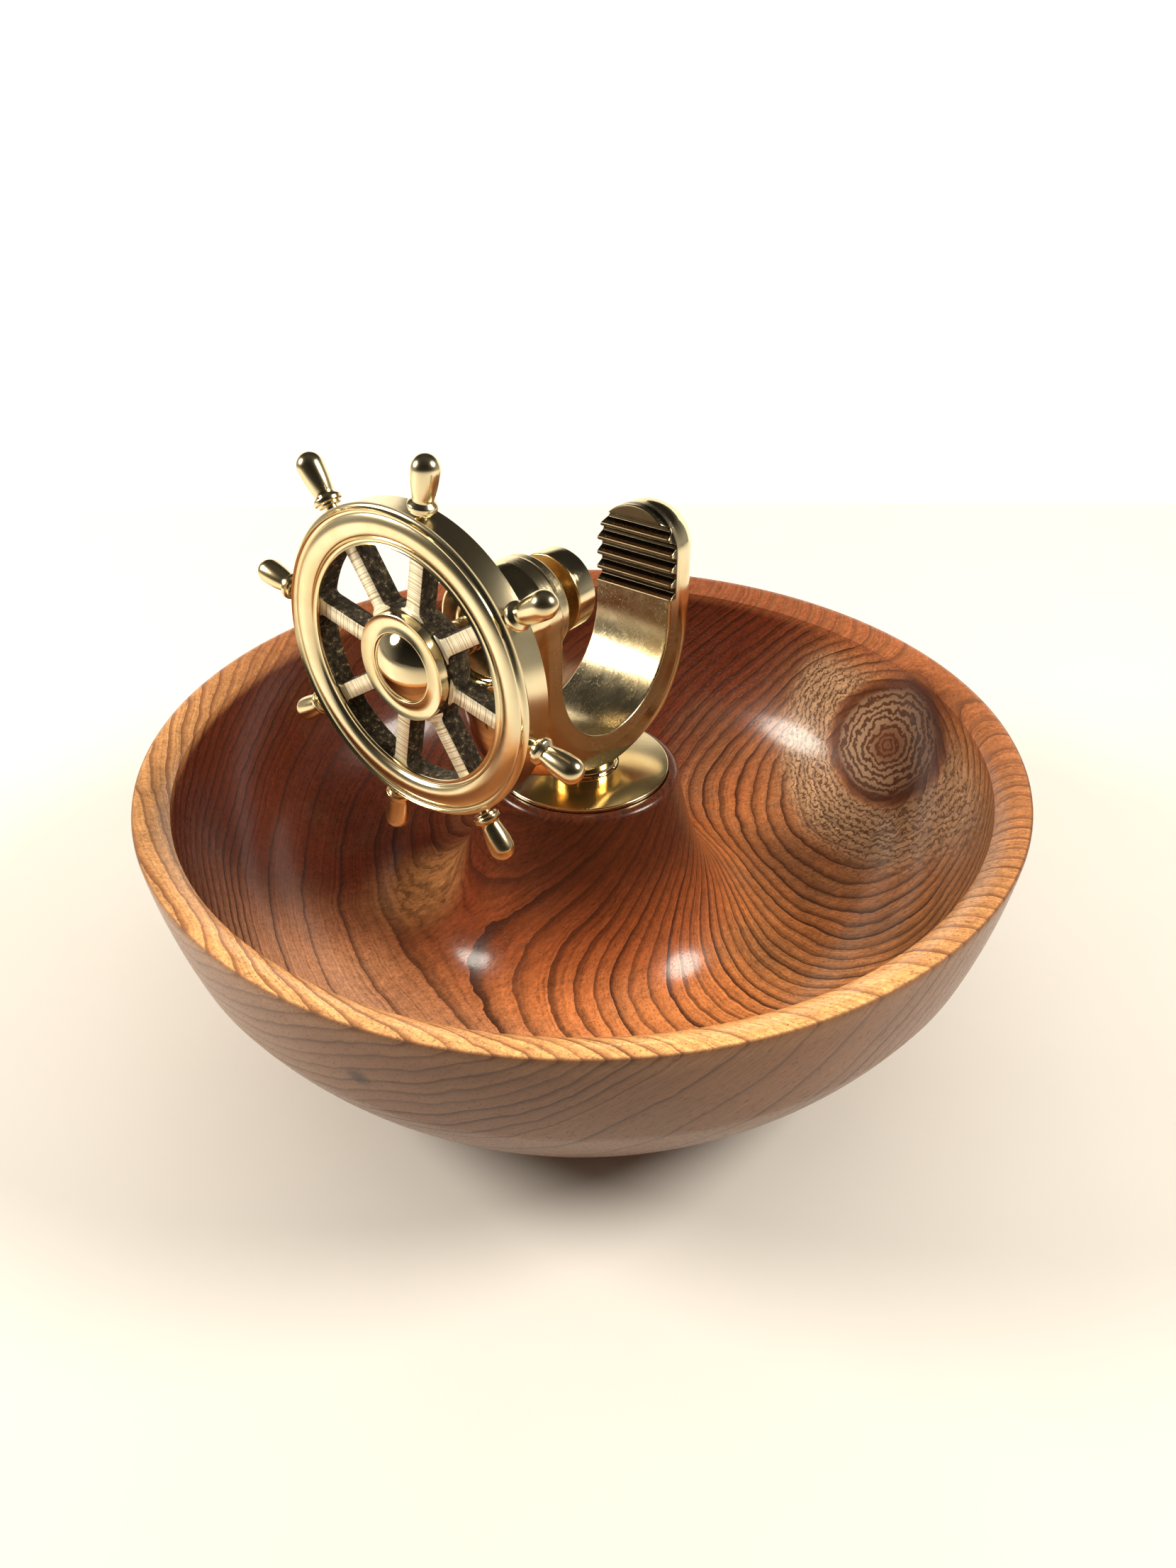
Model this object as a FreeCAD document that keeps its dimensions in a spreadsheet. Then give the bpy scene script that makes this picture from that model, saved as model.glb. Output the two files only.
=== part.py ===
import FreeCAD, Part
import math
import os
import Sketcher
from FreeCAD import Placement, Rotation, Vector

# Ship's wheel nutcracker press on a turned wooden bowl, in millimetres.
# The origin is at the middle of the bowl's foot, on the table. +Z is up. +X runs along the screw,
# from the wheel to the toothed anvil. Every size is a cell of the sheet called Sizes.

doc = FreeCAD.newDocument("ShipsWheelNutcracker")

# Each size has its own cell: its name and its value
SIZES = {
    # Bowl, outside
    "bowl_radius": 140.0,
    "bowl_height": 92.0,
    "foot_radius": 62.0,
    "foot_height": 4.0,
    "foot_flare": 1.3,
    "foot_recess_radius": 50.0,
    "foot_recess_depth": 2.0,
    "belly_radius": 119.3,
    "belly_height": 32.0,
    "shoulder_radius": 133.9,
    "shoulder_height": 57.0,
    "foot_curve": 70.0,
    "belly_curve": 120.0,
    "shoulder_curve": 199.0,
    # Bowl, rim and inside
    "rim_width": 10.3,
    "rim_drop": 3.6,
    "rim_arris": 0.6,
    "rim_curve": 15.0,
    "wall_radius": 118.6,
    "wall_height": 47.0,
    "wall_curve": 79.0,
    "floor_radius": 73.6,
    "floor_height": 22.0,
    "floor_curve": 53.0,
    # Pedestal in the middle of the bowl
    "flare_radius": 42.9,
    "flare_height": 42.0,
    "flare_curve": 33.6,
    "pedestal_radius": 32.2,
    "pedestal_drop": 11.6,
    "pedestal_curve": 152.0,
    "pedestal_round": 2.4,
    # Brass base plate
    "plate_radius": 28.5,
    "plate_thickness": 3.0,
    "plate_proud": 1.4,
    "plate_bevel": 0.5,
    "plate_gap": 0.4,
    # Screw axis and the cast loop frame
    "screw_rise": 65.3,
    "bar_radius": 14.6,
    "bend_radius": 33.0,
    "bend_drop": 23.8,
    "opening_radius": 26.8,
    "opening_drop": 20.2,
    "opening_shift": 0.5,
    "neck_radius": 10.5,
    "neck_fillet": 1.6,
    "collar_radius": 13.0,
    "collar_rise": 6.2,
    "underside_radius": 34.0,
    "underside_rise": 15.2,
    "barrel_left": 45.3,
    "barrel_right": 23.7,
    "barrel_bevel": 0.8,
    "spot_face": 1.4,
    # Anvil teeth
    "anvil_face": 26.3,
    "tooth_pitch": 4.9,
    "tooth_depth": 2.9,
    "tooth_land": 0.9,
    "tooth_root": 0.5,
    "tooth_first": 11.15,
    "tooth_count": 5,
    # Spindle and its thread
    "thread_radius": 5.0,
    "thread_pitch": 3.0,
    "thread_depth": 1.6,
    "thread_crest": 1.1,
    "thread_root": 1.05,
    "thread_play": 0.08,
    "thread_relief": 1.8,
    "journal_radius": 3.4,
    "journal_length": 5.6,
    "journal_groove_depth": 0.8,
    "journal_groove_width": 2.3,
    "journal_groove_place": 2.0,
    "running_play": 0.05,
    "end_play": 0.3,
    # Pressing ram
    "ram_radius": 12.2,
    "ram_back": 16.7,
    "ram_length": 7.7,
    "ram_bevel": 0.5,
    "ram_ring_pitch": 2.6,
    "ram_ring_depth": 0.8,
    "ram_ring_first": 4.4,
    "ram_ring_count": 3,
    "ram_pin_radius": 1.0,
    "ram_pin_start": 11.4,
    "ram_pin_reach": 6.0,
    # Wheel
    "wheel_angle": 12.7,
    "spoke_count": 8,
    "wheel_front": 75.4,
    "wheel_back": 66.2,
    "rim_outer_radius": 41.9,
    "rim_bead_radius": 1.3,
    "rim_bead_proud": 0.4,
    "rim_cove_front": 74.5,
    "rim_bead_width": 2.14,
    "rim_cove_width": 5.56,
    "rim_cove_curve": 5.6,
    "rim_groove": 0.25,
    "rim_lip_width": 1.7,
    "rim_lip_curve": 1.1,
    "rim_lip_depth": 0.9,
    "rim_wall": 8.4,
    "rim_wall_step": 1.0,
    "spoke_width": 5.0,
    "spoke_front": 72.2,
    "spoke_back": 66.8,
    "spoke_fillet": 1.2,
    "hub_radius": 14.5,
    "hub_core_radius": 15.4,
    "hub_back": 62.2,
    "hub_back_radius": 12.5,
    "hub_front": 75.6,
    "hub_ring_curve": 5.4,
    "hub_ring_drop": 0.6,
    "hub_bore": 4.0,
    "dome_radius": 9.4,
    "dome_height": 3.6,
    "dome_seat": 73.6,
    "dome_skirt": 1.2,
    "dome_bore_depth": 3.6,
    "dome_play": 0.15,
    "grub_radius": 1.5,
    "grub_place": 64.4,
    "grub_socket_radius": 0.8,
    "grub_socket_depth": 2.0,
    # Handles
    "handle_place": 71.6,
    "handle_reach": 15.5,
    "handle_neck_radius": 1.7,
    "handle_root": 4.2,
    "handle_neck": 1.4,
    "handle_step_radius": 3.0,
    "handle_step": 0.9,
    "handle_collar_radius": 3.65,
    "handle_collar": 1.2,
    "handle_waist_radius": 2.6,
    "handle_waist_rise": 1.0,
    "handle_grip_radius": 3.45,
    "handle_grip_curve": 34.0,
    # Fixing under the bowl
    "stud_radius": 4.0,
    "stud_bottom": 4.5,
    "stud_reach": 13.0,
    "stud_play": 0.3,
    "counterbore_radius": 15.0,
    "counterbore_height": 16.0,
    "washer_radius": 12.0,
    "washer_thickness": 2.0,
    "nut_width": 13.0,
    "nut_height": 6.5,
}

sheet = doc.addObject("Spreadsheet::Sheet", "Sizes")
for row, (alias, number) in enumerate(SIZES.items(), start=1):
    sheet.set(f"A{row}", alias.replace("_", " "))
    sheet.set(f"B{row}", str(number))
    sheet.setAlias(f"B{row}", alias)
doc.recompute()


class Size:
    """A size that knows its value now and the sheet formula that keeps it up to date."""

    def __init__(self, value, formula):
        self.value = float(value)
        self.formula = formula

    def __add__(self, other):
        other = as_size(other)
        return Size(self.value + other.value, f"({self.formula} + {other.formula})")

    def __sub__(self, other):
        other = as_size(other)
        return Size(self.value - other.value, f"({self.formula} - {other.formula})")

    def __mul__(self, other):
        other = as_size(other)
        return Size(self.value * other.value, f"({self.formula} * {other.formula})")

    def __truediv__(self, other):
        other = as_size(other)
        return Size(self.value / other.value, f"({self.formula} / {other.formula})")

    def __neg__(self):
        return Size(-self.value, f"-({self.formula})")


def as_size(number):
    return number if isinstance(number, Size) else Size(number, str(number))


class Sizes:
    """Gives each cell of the sheet as a Size, so that sizes.bowl_radius reads like the drawing."""

    def __getattr__(self, alias):
        return Size(sheet.get(alias), f"Sizes.{alias}")


sizes = Sizes()
ZERO = as_size(0)


def place(thing, x=ZERO, y=ZERO, z=ZERO, turn=ZERO, axis=Vector(1, 0, 0)):
    """Stand an object at a place, turned about an axis, both bound to the sheet."""
    thing.Placement = Placement(Vector(x.value, y.value, z.value), Rotation(axis, turn.value))
    for letter, size in (("x", x), ("y", y), ("z", z)):
        thing.setExpression(f".Placement.Base.{letter}", size.formula)
    if turn.value:
        thing.setExpression(".Placement.Rotation.Angle", turn.formula)


def new_body(label, x=ZERO, y=ZERO, z=ZERO, turn=ZERO, axis=Vector(1, 0, 0)):
    body = doc.addObject("PartDesign::Body", label)
    body.Label = label
    place(body, x, y, z, turn, axis)
    return body


def new_sketch(body, name, plane, shift=None):
    """Start a sketch on one of the body's own planes, moved along its normal if asked."""
    sketch = body.newObject("Sketcher::SketchObject", f"{body.Name}_{name}")
    origin = [item for item in body.Origin.OriginFeatures if item.Role == plane]
    sketch.AttachmentSupport = [(origin[0], "")]
    sketch.MapMode = "FlatFace"
    if shift is not None:
        sketch.AttachmentOffset = Placement(Vector(0, 0, shift.value), Rotation())
        sketch.setExpression(".AttachmentOffset.Base.z", shift.formula)
    return sketch


def bind(sketch, kind, refs, size):
    """Add one dimension to a sketch and tie it to the sheet."""
    index = sketch.addConstraint(Sketcher.Constraint(kind, *refs, size.value))
    sketch.setExpression(f"Constraints[{index}]", size.formula)


def bind_point(sketch, geo, pos, x, y):
    """Fix a point by its two distances from the sketch's origin."""
    for kind, size, axis in (("DistanceX", x, -2), ("DistanceY", y, -1)):
        if size.value == 0:
            sketch.addConstraint(Sketcher.Constraint("PointOnObject", geo, pos, axis))
        elif size.value > 0:
            bind(sketch, kind, (-1, 1, geo, pos), size)
        else:
            bind(sketch, kind, (geo, pos, -1, 1), -size)


def arc_through(start, end, radius, side):
    """The arc from start to end that swells to the left or right of the way it goes."""
    chord = end - start
    middle = (start + end) * 0.5
    height = math.sqrt(radius * radius - chord.Length * chord.Length / 4)
    right = Vector(chord.y, -chord.x, 0).normalize()
    centre = middle - right * height if side == "right" else middle + right * height
    first, last = (start, end) if side == "right" else (end, start)
    first_angle = math.atan2(first.y - centre.y, first.x - centre.x)
    last_angle = math.atan2(last.y - centre.y, last.x - centre.x)
    if last_angle <= first_angle:
        last_angle += 2 * math.pi
    circle = Part.Circle(centre, Vector(0, 0, 1), radius)
    return Part.ArcOfCircle(circle, first_angle, last_angle)


def outline(sketch, *corners):
    """Draw a closed outline. A corner is (x, y), reached by a line, or (x, y, radius, side),
    reached by an arc. The last corner joins the first one by a line."""
    corners = [tuple(as_size(item) if item not in ("left", "right") else item for item in corner)
               for corner in corners]
    points = [Vector(corner[0].value, corner[1].value, 0) for corner in corners]
    ends = []
    for number, start in enumerate(points):
        target = corners[(number + 1) % len(corners)]
        end = points[(number + 1) % len(corners)]
        if len(target) == 4:
            geo = sketch.addGeometry(arc_through(start, end, target[2].value, target[3]))
            bind(sketch, "Radius", (geo,), target[2])
            ends.append((geo, 1, 2) if target[3] == "right" else (geo, 2, 1))
        else:
            geo = sketch.addGeometry(Part.LineSegment(start, end))
            ends.append((geo, 1, 2))
    for number, corner in enumerate(corners):
        geo, first, last = ends[number]
        before, before_first, before_last = ends[number - 1]
        sketch.addConstraint(Sketcher.Constraint("Coincident", before, before_last, geo, first))
        bind_point(sketch, geo, first, corner[0], corner[1])


def circle(sketch, x, y, radius):
    geo = sketch.addGeometry(Part.Circle(Vector(x.value, y.value, 0), Vector(0, 0, 1), radius.value))
    bind(sketch, "Radius", (geo,), radius)
    bind_point(sketch, geo, 3, x, y)


def revolve(body, name, sketch, axis="V_Axis", angle=360, cut=False):
    kind = "PartDesign::Groove" if cut else "PartDesign::Revolution"
    feature = body.newObject(kind, f"{body.Name}_{name}")
    feature.Profile = sketch
    feature.ReferenceAxis = (sketch, [axis])
    feature.Angle = angle
    doc.recompute()
    return feature


def pad(body, name, sketch, length):
    feature = body.newObject("PartDesign::Pad", f"{body.Name}_{name}")
    feature.Profile = sketch
    feature.Length = length.value
    feature.setExpression("Length", length.formula)
    doc.recompute()
    return feature


def pocket(body, name, sketch, length=None, reverse=False):
    """Cut a sketch to a length, or right through on both sides when no length is given."""
    feature = body.newObject("PartDesign::Pocket", f"{body.Name}_{name}")
    feature.Profile = sketch
    feature.Reversed = reverse
    if length is None:
        feature.Type = "ThroughAll"
        feature.Midplane = True
    else:
        feature.Length = length.value
        feature.setExpression("Length", length.formula)
    doc.recompute()
    return feature


def origin_axis(body, role):
    return [item for item in body.Origin.OriginFeatures if item.Role == role][0]


def polar_copies(body, name, feature, count):
    """Repeat a feature round the body's X axis."""
    pattern = body.newObject("PartDesign::PolarPattern", f"{body.Name}_{name}")
    pattern.Originals = [feature]
    pattern.Axis = (origin_axis(body, "X_Axis"), [""])
    pattern.Angle = 360
    pattern.Occurrences = int(count.value)
    pattern.setExpression("Occurrences", count.formula)
    body.Tip = pattern
    doc.recompute()
    return pattern


def helix_cut(body, name, sketch, pitch, height):
    """Cut a sketch along a right-hand helix round the body's X axis."""
    feature = body.newObject("PartDesign::SubtractiveHelix", f"{body.Name}_{name}")
    feature.Profile = sketch
    feature.ReferenceAxis = (sketch, ["H_Axis"])
    feature.Mode = "pitch-height-angle"
    feature.Pitch = pitch.value
    feature.setExpression("Pitch", pitch.formula)
    feature.Height = height.value
    feature.setExpression("Height", height.formula)
    feature.LeftHanded = False
    doc.recompute()
    return feature


# Heights and radii that several pieces share
pedestal_height = sizes.bowl_height - sizes.pedestal_drop
plate_top = pedestal_height + sizes.plate_proud
plate_seat = plate_top - sizes.plate_thickness
screw_height = plate_top + sizes.screw_rise
stud_top = plate_top + sizes.stud_reach
stud_hole = sizes.stud_radius + sizes.stud_play
washer_bottom = sizes.counterbore_height - sizes.washer_thickness
nut_bottom = washer_bottom - sizes.nut_height
rim_wall_inner = sizes.rim_outer_radius - sizes.rim_wall


def make_bowl():
    """The wooden bowl: one turning with a foot, a wide trough and a central pedestal."""
    s = sizes
    body = new_body("bowl")
    sketch = new_sketch(body, "profile", "XZ_Plane")
    recess_radius = s.plate_radius + s.plate_gap
    outline(
        sketch,
        (stud_hole, s.counterbore_height),
        (s.counterbore_radius, s.counterbore_height),
        (s.counterbore_radius, s.foot_recess_depth),
        (s.foot_recess_radius, s.foot_recess_depth),
        (s.foot_recess_radius, ZERO),
        (s.foot_radius, ZERO),
        (s.foot_radius + s.foot_flare, s.foot_height),
        (s.belly_radius, s.belly_height, s.foot_curve, "right"),
        (s.shoulder_radius, s.shoulder_height, s.belly_curve, "right"),
        (s.bowl_radius, s.bowl_height - s.rim_arris, s.shoulder_curve, "right"),
        (s.bowl_radius - s.rim_arris, s.bowl_height),
        (s.bowl_radius - s.rim_width, s.bowl_height - s.rim_drop, s.rim_curve, "right"),
        (s.wall_radius, s.wall_height, s.wall_curve, "left"),
        (s.floor_radius, s.floor_height, s.floor_curve, "left"),
        (s.flare_radius, s.flare_height, s.flare_curve, "left"),
        (s.pedestal_radius, pedestal_height - s.pedestal_round, s.pedestal_curve, "left"),
        (s.pedestal_radius - s.pedestal_round, pedestal_height, s.pedestal_round, "right"),
        (recess_radius, pedestal_height),
        (recess_radius, plate_seat),
        (stud_hole, plate_seat),
    )
    revolve(body, "turning", sketch)


def make_base_plate():
    """The brass disc let into the top of the pedestal."""
    s = sizes
    body = new_body("base_plate", z=plate_seat)
    sketch = new_sketch(body, "profile", "XZ_Plane")
    outline(
        sketch,
        (stud_hole, ZERO),
        (s.plate_radius, ZERO),
        (s.plate_radius, s.plate_thickness - s.plate_bevel),
        (s.plate_radius - s.plate_bevel, s.plate_thickness),
        (stud_hole, s.plate_thickness),
    )
    revolve(body, "turning", sketch)


def half_round(sketch, side):
    """The section of the loop's bar: flat cheeks that end in a half circle on the outside."""
    s = sizes
    inner = s.opening_radius - s.bar_radius / 2
    if side == "right":
        outline(
            sketch,
            (inner, -s.bar_radius),
            (s.bend_radius, -s.bar_radius),
            (s.bend_radius + s.bar_radius, ZERO, s.bar_radius, "right"),
            (s.bend_radius, s.bar_radius, s.bar_radius, "right"),
            (inner, s.bar_radius),
        )
    else:
        outline(
            sketch,
            (-inner, s.bar_radius),
            (-s.bend_radius, s.bar_radius),
            (-(s.bend_radius + s.bar_radius), ZERO, s.bar_radius, "right"),
            (-s.bend_radius, -s.bar_radius, s.bar_radius, "right"),
            (-inner, -s.bar_radius),
        )


def make_frame():
    """The cast brass loop: a half-round bar bent into a U, with the threaded barrel on one arm,
    the toothed anvil on the other, and a turned neck under it."""
    s = sizes
    body = new_body("frame", z=screw_height)

    # The bend at the bottom of the loop, a half turn about a line across the loop
    sketch = new_sketch(body, "bend_section", "XY_Plane", shift=-s.bend_drop)
    half_round(sketch, "right")
    revolve(body, "bend", sketch, angle=180)

    # The two upright arms, from the bend to the screw axis
    sketch = new_sketch(body, "arm_sections", "XY_Plane", shift=-s.bend_drop)
    half_round(sketch, "right")
    half_round(sketch, "left")
    pad(body, "arms", sketch, s.bend_drop)

    # The round opening, open at the top
    sketch = new_sketch(body, "opening_outline", "XZ_Plane")
    left = -(s.opening_radius + s.opening_shift)
    right = s.opening_radius - s.opening_shift
    outline(
        sketch,
        (left, s.bar_radius),
        (left, -s.opening_drop),
        (-s.opening_shift, -(s.opening_drop + s.opening_radius), s.opening_radius, "right"),
        (right, -s.opening_drop, s.opening_radius, "right"),
        (right, s.bar_radius),
    )
    pocket(body, "opening", sketch)

    # Stock for the neck, then one turning cut that leaves the neck, its collar and the underside
    neck_foot = -(screw_height - plate_top)
    collar_low = neck_foot + s.collar_rise
    opening_low = -(s.opening_drop + s.opening_radius)
    sketch = new_sketch(body, "neck_stock_outline", "XZ_Plane")
    outline(
        sketch,
        (ZERO, neck_foot),
        (s.collar_radius, neck_foot),
        (s.collar_radius, opening_low - s.spot_face),
        (ZERO, opening_low - s.spot_face),
    )
    revolve(body, "neck_stock", sketch)
    sketch = new_sketch(body, "underside_outline", "XZ_Plane")
    bend_low = -(s.bend_drop + s.bend_radius + s.bar_radius * 2)
    bend_wide = s.bend_radius + s.bar_radius * 2
    outline(
        sketch,
        (ZERO, bend_low),
        (bend_wide, bend_low),
        (bend_wide, neck_foot + s.underside_rise),
        (s.underside_radius, neck_foot + s.underside_rise),
        (s.collar_radius, collar_low),
        (s.neck_radius, collar_low),
        (s.neck_radius, neck_foot + s.neck_fillet),
        (s.neck_radius + s.neck_fillet, neck_foot, s.neck_fillet, "right"),
        (ZERO, neck_foot),
    )
    revolve(body, "underside", sketch, cut=True)

    # A flat face for the barrel's end, then the barrel itself
    sketch = new_sketch(body, "spot_outline", "XZ_Plane")
    outline(
        sketch,
        (-bend_wide, ZERO),
        (-s.barrel_left, ZERO),
        (-s.barrel_left, s.bar_radius + s.spot_face),
        (-bend_wide, s.bar_radius + s.spot_face),
    )
    revolve(body, "spot_face", sketch, axis="H_Axis", cut=True)
    sketch = new_sketch(body, "barrel_outline", "XZ_Plane")
    outline(
        sketch,
        (-s.barrel_left, ZERO),
        (-s.barrel_right, ZERO),
        (-s.barrel_right, s.bar_radius - s.barrel_bevel),
        (-(s.barrel_right + s.barrel_bevel), s.bar_radius),
        (-(s.barrel_left - s.barrel_bevel), s.bar_radius),
        (-s.barrel_left, s.bar_radius - s.barrel_bevel),
    )
    revolve(body, "barrel", sketch, axis="H_Axis")

    # The anvil: a round boss in line with the screw, closed by a half ball
    sketch = new_sketch(body, "anvil_outline", "XZ_Plane")
    outline(
        sketch,
        (s.anvil_face, ZERO),
        (s.bend_radius + s.bar_radius, ZERO),
        (s.bend_radius, s.bar_radius, s.bar_radius, "right"),
        (s.anvil_face, s.bar_radius),
    )
    revolve(body, "anvil", sketch, axis="H_Axis")

    # Teeth: one groove across the anvil's face, repeated upwards
    sketch = new_sketch(body, "tooth_outline", "XZ_Plane")
    half_mouth = (s.tooth_pitch - s.tooth_land) / 2
    outline(
        sketch,
        (s.anvil_face - s.spot_face, -(s.tooth_first + half_mouth)),
        (s.anvil_face, -(s.tooth_first + half_mouth)),
        (s.anvil_face + s.tooth_depth, -(s.tooth_first + s.tooth_root)),
        (s.anvil_face + s.tooth_depth, -(s.tooth_first - s.tooth_root)),
        (s.anvil_face, -(s.tooth_first - half_mouth)),
        (s.anvil_face - s.spot_face, -(s.tooth_first - half_mouth)),
    )
    groove = pocket(body, "tooth", sketch)
    pattern = body.newObject("PartDesign::LinearPattern", "frame_teeth")
    pattern.Originals = [groove]
    pattern.Direction = (sketch, ["V_Axis"])
    pattern.Length = s.tooth_pitch.value * (s.tooth_count.value - 1)
    pattern.setExpression("Length", "Sizes.tooth_pitch * (Sizes.tooth_count - 1)")
    pattern.Occurrences = int(s.tooth_count.value)
    pattern.setExpression("Occurrences", s.tooth_count.formula)
    body.Tip = pattern
    doc.recompute()

    # The barrel's bore at the thread's core, and the stud's blind hole in the neck
    sketch = new_sketch(body, "bore_outline", "XZ_Plane")
    bore = s.thread_radius - s.thread_depth + s.thread_play
    outline(
        sketch,
        (-(s.barrel_left + s.spot_face), ZERO),
        (-(s.barrel_right - s.spot_face), ZERO),
        (-(s.barrel_right - s.spot_face), bore),
        (-(s.barrel_left + s.spot_face), bore),
    )
    revolve(body, "bore", sketch, axis="H_Axis", cut=True)
    sketch = new_sketch(body, "stud_hole_outline", "XZ_Plane")
    stud_fit = s.stud_radius + s.running_play
    outline(
        sketch,
        (ZERO, neck_foot - s.spot_face),
        (stud_fit, neck_foot - s.spot_face),
        (stud_fit, neck_foot + s.stud_reach + s.end_play),
        (ZERO, neck_foot + s.stud_reach + s.end_play),
    )
    revolve(body, "stud_hole", sketch, cut=True)

    # The barrel's thread: the spindle's ridge with play all round it
    sketch = new_sketch(body, "thread_outline", "XZ_Plane")
    ridge = -(s.barrel_left + s.thread_pitch) + s.thread_pitch / 2
    mouth = (s.thread_pitch - s.thread_root) / 2 + s.thread_play
    crest = s.thread_crest / 2 + s.thread_play
    low = bore - s.thread_play
    high = s.thread_radius + s.thread_play
    outline(
        sketch,
        (ridge - mouth, low),
        (ridge + mouth, low),
        (ridge + crest, high),
        (ridge - crest, high),
    )
    height = s.barrel_left - s.barrel_right + s.thread_pitch * 2
    helix_cut(body, "thread", sketch, s.thread_pitch, height)


def make_spindle():
    """The screw: a plain end for the wheel, a coarse thread, and a journal for the ram."""
    s = sizes
    body = new_body("spindle", z=screw_height)
    core = s.thread_radius - s.thread_depth
    wheel_end = -(s.dome_seat + s.dome_bore_depth - s.end_play)
    journal_start = -(s.ram_back + s.end_play)
    journal_end = -(s.ram_back - s.journal_length)
    groove_left = -(s.ram_back - s.journal_groove_place)
    groove_right = groove_left + s.journal_groove_width
    groove_radius = s.journal_radius - s.journal_groove_depth
    shank = s.hub_bore - s.running_play
    sketch = new_sketch(body, "profile", "XZ_Plane")
    outline(
        sketch,
        (wheel_end, ZERO),
        (journal_end, ZERO),
        (journal_end, s.journal_radius),
        (groove_right, s.journal_radius),
        (groove_right, groove_radius),
        (groove_left, groove_radius),
        (groove_left, s.journal_radius),
        (journal_start, s.journal_radius),
        (journal_start - s.thread_relief, s.journal_radius),
        (journal_start - s.thread_relief, s.thread_radius),
        (-(s.hub_back - s.thread_relief), s.thread_radius),
        (-(s.hub_back - s.thread_relief), core),
        (-s.hub_back, core),
        (-s.hub_back, shank),
        (wheel_end, shank),
    )
    revolve(body, "turning", sketch, axis="H_Axis")

    # The gap between two ridges, cut along the helix in step with the barrel's thread
    sketch = new_sketch(body, "thread_outline", "XZ_Plane")
    turns_back = 6
    gap = -(s.barrel_left + s.thread_pitch) - s.thread_pitch * turns_back + s.thread_pitch
    high = s.thread_radius + s.thread_play
    root = s.thread_root / 2
    mouth = (s.thread_pitch - s.thread_crest) / 2
    outline(
        sketch,
        (gap - root, core),
        (gap + root, core),
        (gap + mouth, s.thread_radius),
        (gap + mouth, high),
        (gap - mouth, high),
        (gap - mouth, s.thread_radius),
    )
    height = journal_start - s.thread_relief / 2 - gap
    helix_cut(body, "thread", sketch, s.thread_pitch, height)


def make_ram():
    """The pressing head and the cross pin that keeps it on the spindle's journal."""
    s = sizes
    front = -(s.ram_back - s.ram_length)
    body = new_body("ram_head", z=screw_height)
    sketch = new_sketch(body, "profile", "XZ_Plane")
    bore = s.journal_radius + s.running_play
    bore_end = -(s.ram_back - s.journal_length) + s.end_play
    outline(
        sketch,
        (-s.ram_back, bore),
        (bore_end, bore),
        (bore_end, ZERO),
        (front, ZERO),
        (front, s.ram_radius - s.ram_bevel),
        (front - s.ram_bevel, s.ram_radius),
        (-(s.ram_back - s.ram_bevel), s.ram_radius),
        (-s.ram_back, s.ram_radius - s.ram_bevel),
    )
    revolve(body, "turning", sketch, axis="H_Axis")
    sketch = new_sketch(body, "ring_outlines", "XZ_Plane")
    for ring in range(int(s.ram_ring_count.value)):
        radius = s.ram_ring_first + s.ram_ring_pitch * ring
        outline(
            sketch,
            (front - s.ram_ring_depth, radius),
            (front + s.ram_bevel, radius - s.ram_ring_depth - s.ram_bevel),
            (front + s.ram_bevel, radius + s.ram_ring_depth + s.ram_bevel),
        )
    revolve(body, "rings", sketch, axis="H_Axis", cut=True)

    # The pin lies across, just under the journal's groove, in a hole drilled from the far side
    pin_x = -(s.ram_back - s.journal_groove_place) + s.journal_groove_width / 2
    pin_drop = -(s.journal_radius - s.journal_groove_depth + s.ram_pin_radius + s.running_play)
    hole = s.ram_pin_radius + s.running_play
    sketch = new_sketch(body, "pin_hole_outline", "XZ_Plane", shift=-(s.ram_radius + s.spot_face))
    circle(sketch, pin_x, pin_drop, hole)
    depth = s.ram_radius + s.spot_face + s.ram_pin_reach + s.end_play
    pocket(body, "pin_hole", sketch, length=depth, reverse=True)

    pin = new_body("ram_pin", z=screw_height)
    sketch = new_sketch(pin, "section", "XZ_Plane", shift=-s.ram_pin_start)
    circle(sketch, pin_x, pin_drop, s.ram_pin_radius)
    pad(pin, "rod", sketch, s.ram_pin_start + s.ram_pin_reach)


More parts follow.
